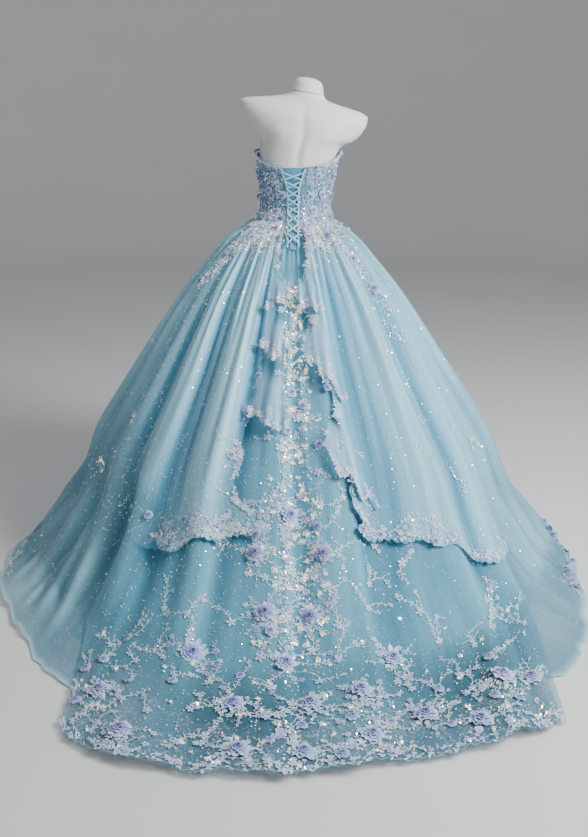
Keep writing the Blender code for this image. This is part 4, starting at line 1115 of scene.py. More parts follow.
level_z = np.linspace(LACING_TOP_Z - .007, LACING_END_Z + .009, LACING_LEVELS)


def strip_edges(x, z, width):
    d = unit(np.stack([np.diff(x), np.diff(z)], 1))
    d0, d1 = np.vstack([d[:1], d]), np.vstack([d, d[-1:]])
    mid = unit(d0 + d1)
    side = np.stack([mid[:, 1], -mid[:, 0]], 1)
    side = side / np.maximum(np.sum(mid * d0, 1), .5)[:, None] * width / 2
    return (x + side[:, 0], z + side[:, 1]), (x - side[:, 0], z - side[:, 1])


for name, first, lift in (("lacing_ribbon_a", 1, .0060), ("lacing_ribbon_b", -1, .0085)):
    half = smooth_table(column(OPENING, 0), column(OPENING, 1), level_z)
    px, pz = [], []
    for i in range(LACING_LEVELS):
        x = first * (-1) ** i * (half[i] + .0012 + TAPE_WIDTH * .5)
        px += [x, x]
        pz += [level_z[i] + .0022, level_z[i] - .0022]
    k = np.linspace(0, len(px) - 1, 14 * len(px))
    xs, zs = np.interp(k, np.arange(len(px)), px), np.interp(k, np.arange(len(px)), pz)
    ker = np.hanning(11)
    ker /= ker.sum()
    xs = np.convolve(np.pad(xs, 5, "edge"), ker, "valid")
    zs = np.convolve(np.pad(zs, 5, "edge"), ker, "valid")
    (ax, az), (bx, bz) = strip_edges(xs, zs, RIBBON_WIDTH)
    w = np.linspace(0, 1, 4)[:, None]
    gx, gz = ax + (bx - ax) * w, az + (bz - az) * w
    rise = lift + .0009 * np.cos((k % 2) * np.pi * 1.0) + .0005 * np.sin(w * np.pi)
    p, out, _ = back_face(gx, gz, rise + 0 * gx)
    o = cloth_sheet(name + "_satin", p, M["ribbon"], False, None, None, .0007)
    own(o, "blue_satin", name)


def join(parts):
    vs, fs, off = [], [], 0
    for v, f in parts:
        vs.append(v)
        fs += [tuple(i + off for i in q) for q in f]
        off += len(v)
    return np.vstack(vs), fs


# the loops that the ribbon runs through
loops = []
for z in level_z:
    half = float(smooth_table(column(OPENING, 0), column(OPENING, 1), z))
    for sign in (1, -1):
        th = np.linspace(-.2, np.pi + .2, 12)
        x = sign * (half + .0012 + TAPE_WIDTH * .5 + .0040 - .0085 * np.sin(th) * .9)
        zz = z + .0042 * np.cos(th)
        c, _, _ = back_face(x, zz, .0052 + .0060 * np.sin(th))
        loops.append(tube(c, .0007, 6))
v, f = join(loops)
own(make("lacing_loops", v, f, M["ribbon"], vectors={"cloth": v}), "blue_satin")

# ---------------------------------------------------------------- dress form
def form_skin(rows, count, rings, k0=0.0, k1=None):
    k = np.linspace(k0, len(rows) - 1 if k1 is None else k1, rings)[:, None]
    idx = np.arange(len(rows))
    z, cx, w, f, b, tilt = [smooth_table(idx, column(rows, c), k) for c in range(6)]
    r = np.linspace(0, 2 * np.pi, count + 1)[:-1][None]
    c, sn = np.cos(r), np.sin(r)
    x = w * np.sign(sn) * np.abs(sn) ** .97
    y = np.where(c > 0, b, f) * np.sign(c) * np.abs(c) ** .97
    zz = z + x * np.tan(np.radians(tilt))
    # spine furrow, shoulder blades and collar bones
    back = np.clip(c, 0, 1)
    furrow = np.exp(-(x / .011) ** 2) * ease(z, 1.20, 1.27) * (1 - ease(z, 1.41, 1.455))
    blade = (np.exp(-((np.abs(x) - .078) / .038) ** 2 - ((z - 1.352) / .040) ** 2))
    hollow = np.exp(-((np.abs(x) - .030) / .017) ** 2) * ease(z, 1.25, 1.32) * (1 - ease(z, 1.38, 1.44))
    y = y + back * (-.0058 * furrow + .0062 * blade + .0012 * hollow)
    collar = np.exp(-((z - 1.428 - .02 * np.abs(x)) / .007) ** 2) * np.exp(-((np.abs(x) - .075) / .05) ** 2)
    y = y - np.clip(-c, 0, 1) * .0022 * collar
    return np.stack([cx + x, y, zz], -1)


p = form_skin(FORM_ROWS, 128, 100)
v = p.reshape(-1, 3)
f = [tuple(q) for q in quads(100, 128, True)[:, ::-1]]
top = p[-1].mean(0)
inner = np.array([top + (q - top) * .94 + np.array([0, 0, .0002]) for q in p[-1]])
n0 = len(v)
v = np.vstack([v, inner])
f += [(n0 - 128 + j, n0 - 128 + (j + 1) % 128, n0 + (j + 1) % 128, n0 + j) for j in range(128)]
f.append(tuple(range(n0, n0 + 128)))
f.append(tuple(range(128))[::-1])
own(make("form_torso_shell", v, f, M["form"]), "form_shell", "form_torso")

rows = NECK_ROWS
p = form_skin(rows, 96, 26)
lip = p[0].mean(0) + (p[0] - p[0].mean(0)) * .985 - np.array([0, 0, .0004])
p = np.concatenate([lip[None], p], 0)
tip = np.array([-.0533, 0, 1.530])
rings = [p]
for t in np.linspace(0, 1, 8)[1:-1]:
    rings.append((tip + (p[-1] - tip) * (1 - t) + np.array([0, 0, .0006 * math.sin(t * math.pi)]))[None])
p = np.concatenate(rings, 0)
v = np.vstack([p.reshape(-1, 3), tip])
f = [tuple(q) for q in quads(len(p), 96, True)[:, ::-1]]
n0 = (len(p) - 1) * 96
f += [(n0 + j, n0 + (j + 1) % 96, len(v) - 1) for j in range(96)]
f.append(tuple(range(96))[::-1])
own(make("form_cap_shell", v, f, M["form"]), "form_shell", "form_neck_cap")


def turned(profile, count):
    th = np.arange(count) * 2 * np.pi / count
    p = np.array([[(r * math.sin(t), r * math.cos(t), z) for t in th] for r, z in profile])
    f = [tuple(q) for q in quads(len(profile), count, True)[:, ::-1]]
    m = len(profile) * count
    f += [tuple(range(count))[::-1], tuple(range(m - count, m))]
    return p.reshape(-1, 3), f


v, f = turned([(BASE_RADIUS - .001, 0), (BASE_RADIUS, .001), (BASE_RADIUS, .0066), (BASE_RADIUS - .0022, .0088),
               (BASE_RADIUS - .008, .0108), (.060, .0120), (.030, .0120)], 96)
o = own(make("base_plate", v, f, M["plate"]), "stand_plate", "stand_base")
v, f = turned([(.026, .0123), (.026, .020), (.022, .026), (POLE_RADIUS, .030), (POLE_RADIUS, .700),
               (POLE_RADIUS + .004, .702), (POLE_RADIUS + .004, .726), (POLE_RADIUS, .728),
               (POLE_RADIUS, FORM_BOTTOM_Z + .0057)], 48)
own(make("pole_tube", v, f, M["pole"]), "stand_metal", "stand_pole")


# ---------------------------------------------------------------- sewn work
def fan(points, faces):
    return np.array(points, float), faces


LEAF = fan([(0, 0, 0), (-.20, .26, .01), (0, .28, .05), (.20, .26, .01), (-.25, .56, .01),
            (0, .60, .06), (.25, .56, .01), (0, 1, .02)],
           [(0, 2, 1), (0, 3, 2), (1, 2, 5, 4), (2, 3, 6, 5), (4, 5, 7), (5, 6, 7)])
petals, pf = [(0, 0, .05)], []
for k in range(5):
    th = 2 * math.pi * k / 5
    i = len(petals)
    for d, r, z in ((-.46, .62, .06), (-.20, .98, .10), (.20, .98, .10), (.46, .62, .06)):
        petals.append((r * math.sin(th + d), r * math.cos(th + d), z))
    pf += [(0, i + 1, i), (0, i + 2, i + 1), (0, i + 3, i + 2)]
FLOWER = fan(petals, pf)
hexa = [(0, 0, .12)] + [(math.sin(k * math.pi / 3), math.cos(k * math.pi / 3), 0) for k in range(6)]
SEQUIN = fan(hexa, [(0, 2, 1, 6), (0, 4, 3, 2), (0, 6, 5, 4)])
BEAD = fan([(0, 0, 0), (1, 0, .8), (0, 1, .8), (-1, 0, .8), (0, -1, .8), (0, 0, 1.7)],
           [(0, 2, 1), (0, 3, 2), (0, 4, 3), (0, 1, 4), (5, 1, 2), (5, 2, 3), (5, 3, 4), (5, 4, 1)])
DOT = fan([(-1, -1, 0), (1, -1, 0), (1, 1, 0), (-1, 1, 0)], [(0, 1, 2, 3)])


class Sewn:
    """Small sewn things placed by angle and level on a piece of cloth."""

    def __init__(self):
        self.rows = {"leaf": [], "flower": [], "sequin": [], "bead": [], "dot": []}
        self.strips = []

    def put(self, kind, a, s, turn, size, h=0.0, tint=(.8, .85, .95), wide=1.0, tx=0.0, ty=0.0):
        self.rows[kind].append((a, s, turn, size, h, *tint, wide, tx, ty))

    def strip(self, path, width, h, tint):
        if len(path) > 1:
            self.strips.append((np.array(path), width, h, tint))


SHAPES = {"leaf": LEAF, "flower": FLOWER, "sequin": SEQUIN, "bead": BEAD, "dot": DOT}


def sewn_mesh(name, work, kinds, place, scale, mat, slot):
    """place(a, s, lift) gives points; scale(a, s) gives metres per degree and per level."""
    A, S, H, C, F, off = [], [], [], [], [], 0
    for kind in kinds:
        if kind == "strip":
            for path, width, h, tint in work.strips:
                la, ls = scale(path[:, 0], path[:, 1])
                x = np.concatenate([[0], np.cumsum(np.diff(path[:, 0]) * la[1:])])
                y = np.concatenate([[0], np.cumsum(np.diff(path[:, 1]) * ls[1:])])
                d = unit(np.stack([np.gradient(x), np.gradient(y)], 1))
                w = width * (1 - .5 * np.linspace(0, 1, len(path)))
                for sg in (-1, 1):
                    A.append(path[:, 0] + sg * d[:, 1] * w / 2 / la)
                    S.append(path[:, 1] - sg * d[:, 0] * w / 2 / ls)
                    H.append(np.full(len(path), h))
                    C.append(np.tile(tint, (len(path), 1)))
                m = len(path)
                F += [(off + i, off + m + i, off + m + i + 1, off + i + 1) for i in range(m - 1)]
                off += 2 * m
            continue
        rows = work.rows[kind]
        if not rows:
            continue
        r = np.array(rows, float)
        T, faces = SHAPES[kind]
        la, ls = scale(r[:, 0], r[:, 1])
        x = T[None, :, 0] * (r[:, 3] * r[:, 8])[:, None]
        y = T[None, :, 1] * r[:, 3][:, None]
        z = T[None, :, 2] * r[:, 3][:, None] + x * r[:, 9][:, None] + y * r[:, 10][:, None]
        c, sn = np.cos(r[:, 2])[:, None], np.sin(r[:, 2])[:, None]
        gx, gy = x * c + y * sn, -x * sn + y * c
        m = T.shape[0]
        A.append((r[:, 0][:, None] + gx / la[:, None]).ravel())
        S.append((r[:, 1][:, None] + gy / ls[:, None]).ravel())
        H.append((r[:, 4][:, None] + z).ravel())
        # painted highlight and shade: the raised parts of each shape lighter, the low parts darker
        tone = 1 + .10 * (T[:, 2] / max(T[:, 2].max(), 1e-6) - .5)
        C.append(np.clip(r[:, None, 5:8] * tone[None, :, None], 0, 1).reshape(-1, 3))
        base = off + np.arange(len(r))[:, None] * m
        for q in faces:
            F += (base + np.array(q)[None]).tolist()
        off += m * len(r)
    if not A:
        return None
    A, S, H = np.concatenate(A), np.concatenate(S), np.concatenate(H)
    p = place(A, S, np.maximum(H, 0))
    p[:, 2] = np.maximum(p[:, 2], .0006)            # nothing sewn on reaches below the floor
    return own(make(name, p, F, mat, True,
                    colours={"tint": np.concatenate(C)}), slot)


def scale_map(layer):
    ga = np.arange(-180, 180.1, 3.0)[None]
    gs = np.arange(0, 13.01, .125)[:, None]
    ta, ts = slopes(lambda x, y: plain_skirt(layer, x, np.clip(y, 0, 13)), ga + 0 * gs,
                    np.clip(gs, .02, 12.98) + 0 * ga)
    la, ls = np.linalg.norm(ta, axis=-1), np.linalg.norm(ts, axis=-1)

    def at(a, s):
        x = (wrap(a) + 180) / 3.0
        y = np.clip(s, 0, 12.99) / .125
        i, j = np.floor(y).astype(int), np.floor(x).astype(int)
        j = np.clip(j, 0, la.shape[1] - 2)
        fy, fx = y - i, x - j
        i1 = np.minimum(i + 1, la.shape[0] - 1)

        def mixed(g):
            return ((g[i, j] * (1 - fx) + g[i, j + 1] * fx) * (1 - fy)
                    + (g[i1, j] * (1 - fx) + g[i1, j + 1] * fx) * fy)
        return np.maximum(mixed(la), 1e-4), np.maximum(mixed(ls), 1e-3)
    return at


train_scale, tulle_scale = scale_map("train"), scale_map("tulle")


def bodice_scale(a, z):
    return np.full(np.shape(a), .00225), np.full(np.shape(a), -1.0)


WHITE = (.62, .80, .92)
ICE = (.42, .67, .84)
PALE_LILAC = (.50, .57, .87)
MID_LILAC = (.34, .36, .72)
HEART = (.14, .26, .48)
SEQUINS = [(1.0, .50, .32), (1.0, .86, .76), (.42, .95, .80), (1.0, .64, .40), (1.0, .98, .95),
           (.98, .98, 1.0), (.98, .98, 1.0), (.98, .80, .72), (.60, .85, 1.0)]


def leaf_tint():
    t = rng.uniform()
    c = np.array(WHITE if t < .62 else ICE if t < .82 else PALE_LILAC)
    return tuple(np.clip(c * rng.uniform(.82, 1.08), 0, 1))


def vine(work, scale, a, s, heading, length, size, inside, curl=0.0, flowers=.12, step=.0098, glitz=.4,
         twigs=True, slim=1.0):
    """A stem that wanders, with leaves on both sides, twigs, blossoms and sequins."""
    path = [(a, s)]
    n = int(length / step)
    sway, beat = rng.uniform(0, 6), rng.uniform(.3, .6)
    for i in range(n):
        la, ls = [float(x) for x in scale(np.array(a), np.array(s))]
        heading += curl + .20 * math.sin(i * beat + sway) + rng.normal(0, .04)
        na, ns = a + step * math.sin(heading) / la, s + step * math.cos(heading) / ls
        if not inside(na, ns):
            break
        a, s = na, ns
        path.append((a, s))
        part = i / max(n, 1)
        if i >= 1 and rng.uniform() < .80:
            side = 1 if i % 2 else -1
            work.put("leaf", a, s, heading + side * rng.uniform(.7, 1.15),
                     size * (1.10 - .40 * part) * rng.uniform(.75, 1.15), .0005, leaf_tint(),
                     slim * rng.uniform(.85, 1.2))
            if rng.uniform() < .22:
                work.put("leaf", a, s, heading - side * rng.uniform(.6, 1.1),
                         size * (.95 - .40 * part) * rng.uniform(.6, .9), .0005, leaf_tint(), slim)
        if twigs and i > 1 and rng.uniform() < .26:
            vine(work, scale, a, s, heading + rng.choice((-1, 1)) * rng.uniform(.7, 1.3), rng.uniform(.014, .030),
                 size * .8, inside, rng.normal(0, .2), flowers, step, glitz, False, slim)
        if rng.uniform() < flowers * .8:
            work.put("flower", a, s, rng.uniform(0, 6), size * rng.uniform(.48, .78), .0012,
                     tuple(np.clip(np.array(PALE_LILAC if rng.uniform() < .6 else WHITE) * rng.uniform(.85, 1.1), 0, 1)))
            work.put("flower", a, s, rng.uniform(0, 6), size * rng.uniform(.24, .32), .0022, HEART)
        if rng.uniform() < glitz * .5:
            work.put("sequin", a + rng.normal(0, .008) / la, s + rng.normal(0, .008) / ls,
                     rng.uniform(0, 6), rng.uniform(.0018, .0028), .0022,
                     SEQUINS[rng.integers(len(SEQUINS))], 1, rng.normal(0, .35), rng.normal(0, .35))
    work.strip(path, .0025, .0006, tuple(np.array(WHITE) * 1.06))
    if len(path) > 2:
        if rng.uniform() < .4:
            work.put("flower", a, s, rng.uniform(0, 6), size * rng.uniform(.40, .60), .0012, WHITE)
        else:
            work.put("leaf", a, s, heading, size * .8, .0005, leaf_tint())
    return path


def sparkle(work, scale, a, s, count, spread, ok):
    """A knot of sequins, thick in the middle."""
    la, ls = [float(x) for x in scale(np.array(a), np.array(s))]
    for _ in range(count):
        r, th = spread * abs(rng.normal(0, .6)), rng.uniform(0, 6.28)
        x, y = a + r * math.sin(th) / la, s + r * math.cos(th) / ls
        if ok(x, y):
            work.put("sequin", x, y, rng.uniform(0, 6), rng.uniform(.0019, .0034), .0016 + .0006 * rng.uniform(),
                     SEQUINS[rng.integers(len(SEQUINS))], 1, rng.normal(0, .5), rng.normal(0, .5))


def rosette(work, scale, a, s, radius, size, inside, count=6):
    la, ls = scale(np.array(a), np.array(s))
    for k in range(count):
        h = 2 * math.pi * k / count + rng.uniform(-.3, .3)
        x, y = a + radius * .55 * math.sin(h) / float(la), s + radius * .55 * math.cos(h) / float(ls)
        if inside(x, y):
            work.put("leaf", x, y, h, size * rng.uniform(.8, 1.25), .0004, leaf_tint(), 1.15)


# -- where the train's lace may lie, and how thick it grows
def on_train(a, s):
    return -52.5 < a < 40.8 and 2.6 < s < 12.97


def lace_density(a, s):
    col = math.exp(-(a / (6 + 1.4 * max(s - 7, 0))) ** 2) * (1 if s > 3 else 0)
    low = max(0.0, min(1.0, (s - 10.4) / 1.3)) * (.62 + .38 * math.sin(a * .27 + 1.4 * math.sin(s * 1.9)))
    mid = .35 * math.exp(-((a + 2) / 22) ** 2) * max(0.0, min(1.0, (s - 8.2) / 2))
    return min(1.0, max(col, low, mid))


train_work = Sewn()
seeds = []
for a, s, r in ROSES:
    seeds.append((a, s, r, 1))
tries = 0
while len(seeds) < 118 and tries < 12000:
    tries += 1
    a, s = rng.uniform(-51, 39.5), 12.9 - 9.3 * rng.uniform() ** 1.7
    if rng.uniform() > lace_density(a, s) ** 1.3 or not on_train(a, s):
        continue
    la, ls = train_scale(np.array(a), np.array(s))
    gap = .074 if s > 11.3 else .060 if s > 7 else .042
    if all(((a - b[0]) * la) ** 2 + ((s - b[1]) * ls) ** 2 > gap ** 2 for b in seeds):
        seeds.append((a, s, 0, 0))
small_roses = []
for a, s, r, big in seeds:
    d = lace_density(a, s)
    reach = (.105 if big else .070) * (.75 + .5 * d) * (1 if s > 6.5 else .62)
    size = (.0150 if s > 8 else .0120) * (1.10 if big else 1.0)
    heading = rng.uniform(0, 6.28)
    arms = 5 if big else int(rng.integers(1, 4))
    if s > 9.6 and not big:             # sprays that grow up from the hem
        for k in range(int(rng.integers(1, 3))):
            vine(train_work, train_scale, a, s, math.pi + rng.normal(0, .55), rng.uniform(.06, .13), .0138,
                 on_train, rng.normal(0, .09), .20, .0112, .5, True, .60)
        if rng.uniform() < .35:
            vine(train_work, train_scale, a, s, rng.uniform(0, 6.28), rng.uniform(.03, .07), .0132,
                 on_train, rng.normal(0, .12), .22, .0108, .5, True, .60)
        arms = 0
    for k in range(arms):
        vine(train_work, train_scale, a, s, heading + 6.28 * k / arms + rng.normal(0, .3),
             reach * rng.uniform(.5, 1.3), size * .96, on_train, rng.normal(0, .09), .18, .0108, .4, True, .64)
    if big:
        rosette(train_work, train_scale, a, s, r * 1.7, size * 1.35, on_train, 8)
        la, ls = [float(x) for x in train_scale(np.array(a), np.array(s))]
        for _ in range(5):
            th, far = rng.uniform(0, 6.28), r * rng.uniform(1.7, 2.5)
            x, y = a + far * math.sin(th) / la, s + far * math.cos(th) / ls
            if on_train(x, y):
                train_work.put("flower", x, y, rng.uniform(0, 6), rng.uniform(.007, .010), .0016,
                               WHITE if rng.uniform() < .6 else PALE_LILAC)
                train_work.put("flower", x, y, rng.uniform(0, 6), .0028, .0026, HEART)
    elif rng.uniform() < .30 and s > 5:
        small_roses.append((a, s, rng.uniform(.011, .015)))
    else:
        train_work.put("flower", a, s, rng.uniform(0, 6), rng.uniform(.011, .016), .0018,
                       PALE_LILAC if rng.uniform() < .6 else WHITE)
        train_work.put("flower", a, s, rng.uniform(0, 6), rng.uniform(.006, .008), .0032, WHITE)
        train_work.put("flower", a, s, rng.uniform(0, 6), .0028, .0044, MID_LILAC)
        train_work.put("bead", a, s, 0, .0014, .0048, (.92, .92, .98))
# scalloped rim of the train
for a in np.arange(-52.3, 41, .85):
    la, ls = [float(x) for x in train_scale(np.array(a), np.array(12.9))]
    deep = 12.90 + .06 * math.sin(a * 2.3) * math.sin(a * .71 + 1)
    thick = .5 + .5 * math.sin(a * .83) * math.sin(a * .31 + 1)
    for turn in (-1.0, -.45, .1, .6, 1.1):
        if rng.uniform() < .18 + .46 * thick:
            train_work.put("leaf", a + rng.normal(0, .004) / la, min(deep + rng.normal(0, .008) / ls, 12.93), turn + rng.normal(0, .2),
                           rng.uniform(.012, .021), .0010, leaf_tint(), .80)
    if rng.uniform() < .5:
        train_work.put("flower", a, deep - .02, rng.uniform(0, 6), rng.uniform(.006, .010), .0022,
                       PALE_LILAC if rng.uniform() < .5 else WHITE)
    train_work.put("bead", a, deep, 0, .0015, .0036, (.95, .95, 1))
train_work.strip([(a, 12.965 + .015 * math.sin(a * 3)) for a in np.arange(-53, 41.5, .25)], .0016, .0012, ICE)
# loose sequin drifts in the centre column and along the hem
for _ in range(5200):
    t = rng.uniform()
    if t < .45:
        s = rng.uniform(3.2, 10.8)
        a = rng.normal(0, 3.6 + .5 * max(s - 6, 0))
    else:
        s = 12.9 - abs(rng.normal(0, .9))
        a = rng.uniform(-51, 40)
    if not on_train(a, s) or s < 3:
        continue
    if rng.uniform() > .04 + .96 * max(0, math.sin(a * 1.1 + 2 * math.sin(s * 1.7))) * lace_density(a, s):
        continue
    train_work.put("sequin", a, s, rng.uniform(0, 6), rng.uniform(.0016, .0030), .0016,
                   SEQUINS[rng.integers(len(SEQUINS))], 1, rng.normal(0, .4), rng.normal(0, .4))


for _ in range(205):
    t = rng.uniform()
    s = rng.uniform(3.4, 11.0) if t < .62 else 12.9 - abs(rng.normal(0, .9))
    a = rng.normal(0, 2.6 + .55 * max(s - 6, 0)) if t < .62 else rng.uniform(-50, 39)
    if on_train(a, s):
        sparkle(train_work, train_scale, a, s, int(rng.integers(9, 26)), rng.uniform(.006, .014), on_train)


# a few sprays below the overlay's right corner
for a, s in ((-46, 10.25), (-44.5, 10.45), (-42.5, 10.65), (-41, 10.85), (-39.8, 11.0)):
    for _ in range(3):
        vine(train_work, train_scale, a, s, rng.normal(0, 1.3), rng.uniform(.02, .05), .0120, on_train,
             rng.normal(0, .12), .3, .0100, .9, True, .62)
    sparkle(train_work, train_scale, a, s, 8, .010, on_train)


def on_train_at(a, s, h):
    """On the train, and a little past its edge."""
    end = np.clip(s, 0, 12.98)
    lift = .0012 + .0024 * ease(s, 11.5, 11.9) + h
    p = cloth("train", a, end, lift)
    return p + (p - cloth("train", a, end - .1, lift)) * (np.clip(s - end, 0, .3) / .1)[..., None]


sewn_mesh("train_embroidery", train_work, ["strip", "leaf", "flower"], on_train_at, train_scale,
          M["thread"], "beaded_lace")
sewn_mesh("train_sequins", train_work, ["sequin"], on_train_at, train_scale, M["sequin"], "beaded_lace")
sewn_mesh("train_beads", train_work, ["bead"], on_train_at, train_scale, M["bead"], "beaded_lace")

# -- the side and front hems: sprays with deeper blue flowers
hem_work = Sewn()


def on_tulle(a, s):
    return 58 < (a % 360) < 302 and 11.2 < s < 12.96


hem_roses = []
for a in list(np.arange(76, 84, 3.1)) + list(np.arange(122, 238, 4.6)) + list(np.arange(262, 293, 2.3)):
    s = 12.66 + .18 * math.sin(a * .9)
    back = a > 260 or a < 90
    for _ in range(5 if a > 260 else 3):
        vine(hem_work, tulle_scale, a + rng.normal(0, .6), s, rng.normal(0, 1.7), rng.uniform(.03, .08), .0105,
             on_tulle, rng.normal(0, .1), .22)
    if a > 90:
        hem_roses.append((a, s + rng.uniform(-.2, .15), rng.uniform(.012, .017)))


# loose sprays and sequins on the flanks
for a, s in ((-57.5, 6.7), (-58, 7.1), (-56.5, 7.5), (-57, 8.0), (-63, 7.8), (61, 7.0), (67, 8.3)):
    for _ in range(2):
        vine(hem_work, tulle_scale, a, s, rng.normal(0, 1.2), rng.uniform(.02, .045), .0095,
             lambda x, y: 55 < abs(x) < 75 and 5 < y < 9.5, rng.normal(0, .1), .25, .0090, 1.2, True, .65)
    for _ in range(3):
        sparkle(hem_work, tulle_scale, a + rng.normal(0, .9), s + rng.normal(0, .16), 8, .009,
                lambda x, y: abs(x) > 54.5)


def on_tulle_at(a, s, h):
    return cloth("tulle", a, np.clip(s, 0, 13), .0022 + h)


sewn_mesh("hem_embroidery", hem_work, ["strip", "leaf", "flower"], on_tulle_at, tulle_scale, M["thread"],
          "beaded_lace")
sewn_mesh("hem_sequins", hem_work, ["sequin", "bead"], on_tulle_at, tulle_scale, M["sequin"], "beaded_lace")

# -- glitter over all the tulle
for name, layer, place, scale, spans, count in (
        ("train_glitter", "train", lambda a, s, h: cloth("train", a, s, .0012 + h), train_scale,
         (-53, 41, 6, 12.95), 4600),
        ("tulle_glitter", "tulle", lambda a, s, h: cloth("tulle", a, s, .0010 + h), tulle_scale,
         (40, 320, 1.0, 12.95), 11000)):
    work = Sewn()
    for _ in range(count):
        a = rng.uniform(spans[0], spans[1])
        s = spans[2] + (spans[3] - spans[2]) * rng.uniform() ** .62
        work.put("dot", a, s, rng.uniform(0, 6), rng.uniform(.0006, .0012), .0004,
                 (.90, .96, 1.0), 1, rng.normal(0, .5), rng.normal(0, .5))
    sewn_mesh(name, work, ["dot"], place, scale, M["sequin"], "glitter_tulle")

# -- overlays: lace along the opening and the hem, and glitter
over_work = {"left": Sewn(), "right": Sewn()}
over_roses = []
for side, edge, hem in SIDES:
    work = over_work[side]
    sign = 1 if side == "left" else -1

    def inside(a, s, edge=edge, hem=hem, sign=sign):
        a0 = float(smooth_table(column(edge, 0), column(edge, 1), s))
        a1 = float(smooth_table(column(edge, 0), column(edge, 2), s))
        u = (a - a0) / (a1 - a0)
        return 0.0 < u < .99 and 1.2 < s < float(smooth_table(column(hem, 0), column(hem, 1), u)) - .02

    knots = ((.19, .035), (.29, .03), (.52, .02), (.82, .045), (.93, .035)) if side == "left" else (
        (.18, .03), (.27, .035), (.46, .02), (.60, .018), (.715, .028), (.855, .030), (.955, .025))
    for v in np.linspace(.12, .985, 185):          # clusters down the inner edge, little between them
        thick = max(math.exp(-((v - c) / w) ** 2) for c, w in knots)
        if rng.uniform() > .10 + .90 * thick:
            continue
        a, s = [float(x) for x in overlay_angles(edge, hem, np.array(.006), np.array(v), 1.0)]
        la, ls = [float(x) for x in train_scale(np.array(a), np.array(s))]
        for turn in (-2.2, -1.6, -1.0, -.4):
            if rng.uniform() < .25 + .35 * thick:
                work.put("leaf", a + sign * rng.uniform(.002, .016) / la, s, sign * turn + rng.normal(0, .25),
                         rng.uniform(.010, .016), .0008, leaf_tint(), 1.15)
        if rng.uniform() < .35 * thick:
            work.put("flower", a + sign * rng.uniform(.002, .016) / la, s, rng.uniform(0, 6),
                     rng.uniform(.008, .013), .0018, PALE_LILAC if rng.uniform() < .5 else WHITE)
        if rng.uniform() < .20 * thick + .02:
            vine(work, train_scale, a, s, sign * rng.uniform(.2, 1.6), rng.uniform(.025, .055), .012, inside, 0, .3)
    for c, _ in knots:
        a, s = [float(x) for x in overlay_angles(edge, hem, np.array(.02), np.array(c), 1.0)]
        sparkle(work, train_scale, a, s, 16, .014, inside)
    limit = .47 if side == "left" else .84
    low = .85 if side == "left" else .42
    for u in np.linspace(.01, limit, 90):          # along the hem, in clusters
        thick = (.5 + .5 * math.sin(u * 40 + 1) * math.sin(u * 17)) * low
        a, s = [float(x) for x in overlay_angles(edge, hem, np.array(u), np.array(.985), 1.0)]
        for turn in (-1.1, -.5, .1, .6, 1.1):
            if rng.uniform() < (.16 + .5 * thick) * (.5 + .5 * low):
                work.put("leaf", a, s + rng.normal(0, .03), turn + rng.normal(0, .2), rng.uniform(.010, .017), .0008,
                         leaf_tint(), 1.1)
        if rng.uniform() < (.22 + .36 * thick) * low:
            vine(work, train_scale, a, s, math.pi + rng.normal(0, .7), rng.uniform(.03, .06 + .05 * thick), .0135,
                 inside, rng.normal(0, .12), .3)
        if rng.uniform() < .3 * thick:
            work.put("flower", a, s - .05, rng.uniform(0, 6), rng.uniform(.007, .012), .0020, WHITE)
        if rng.uniform() < .5:
            work.put("bead", a, s, 0, .0014, .0022, (.95, .95, 1))
    # sprays near the opening
    for v in np.linspace(.78, .97, 4):
        a, s = [float(x) for x in overlay_angles(edge, hem, np.array(.05), np.array(v), 1.0)]
        vine(work, train_scale, a, s, sign * rng.uniform(.1, 1.3), rng.uniform(.03, .06), .0105, inside,
             sign * .1, .25)
    if side == "right":      # loose sprays on the wearer's right hip and flank
        for a, s in ((-36, 5.3), (-39, 6.0), (-41, 6.9), (-37, 7.6), (-33, 8.9), (-46, 8.2)):
            for _ in range(3):
                vine(work, train_scale, a, s, rng.uniform(0, 6.2), rng.uniform(.02, .05), .0085, inside, .05, .2,
                     glitz=1.6)
    for _ in range(1700):
        a = rng.uniform(*sorted((float(edge[3][1]), float(edge[3][2]))))
        s = 1 + 9 * rng.uniform() ** .7
        if inside(a, s):
            work.put("dot", a, s, rng.uniform(0, 6), rng.uniform(.0006, .0013), .0002, (.92, .97, 1), 1,
                     rng.normal(0, .5), rng.normal(0, .5))

    def place(a, s, h):
        return overlay_at(a, np.clip(s, .5, 11), .0012 + .0020 * ease(s, 7.6, 8.2) + h)
    sewn_mesh("overlay_%s_embroidery" % side, work, ["strip", "leaf", "flower"], place, train_scale,
              M["thread"], "beaded_lace")
    sewn_mesh("overlay_%s_beads" % side, work, ["bead"], place, train_scale, M["bead"], "beaded_lace")
    sewn_mesh("overlay_%s_sequins" % side, work, ["sequin", "dot"], place, train_scale, M["sequin"],
              "beaded_lace")

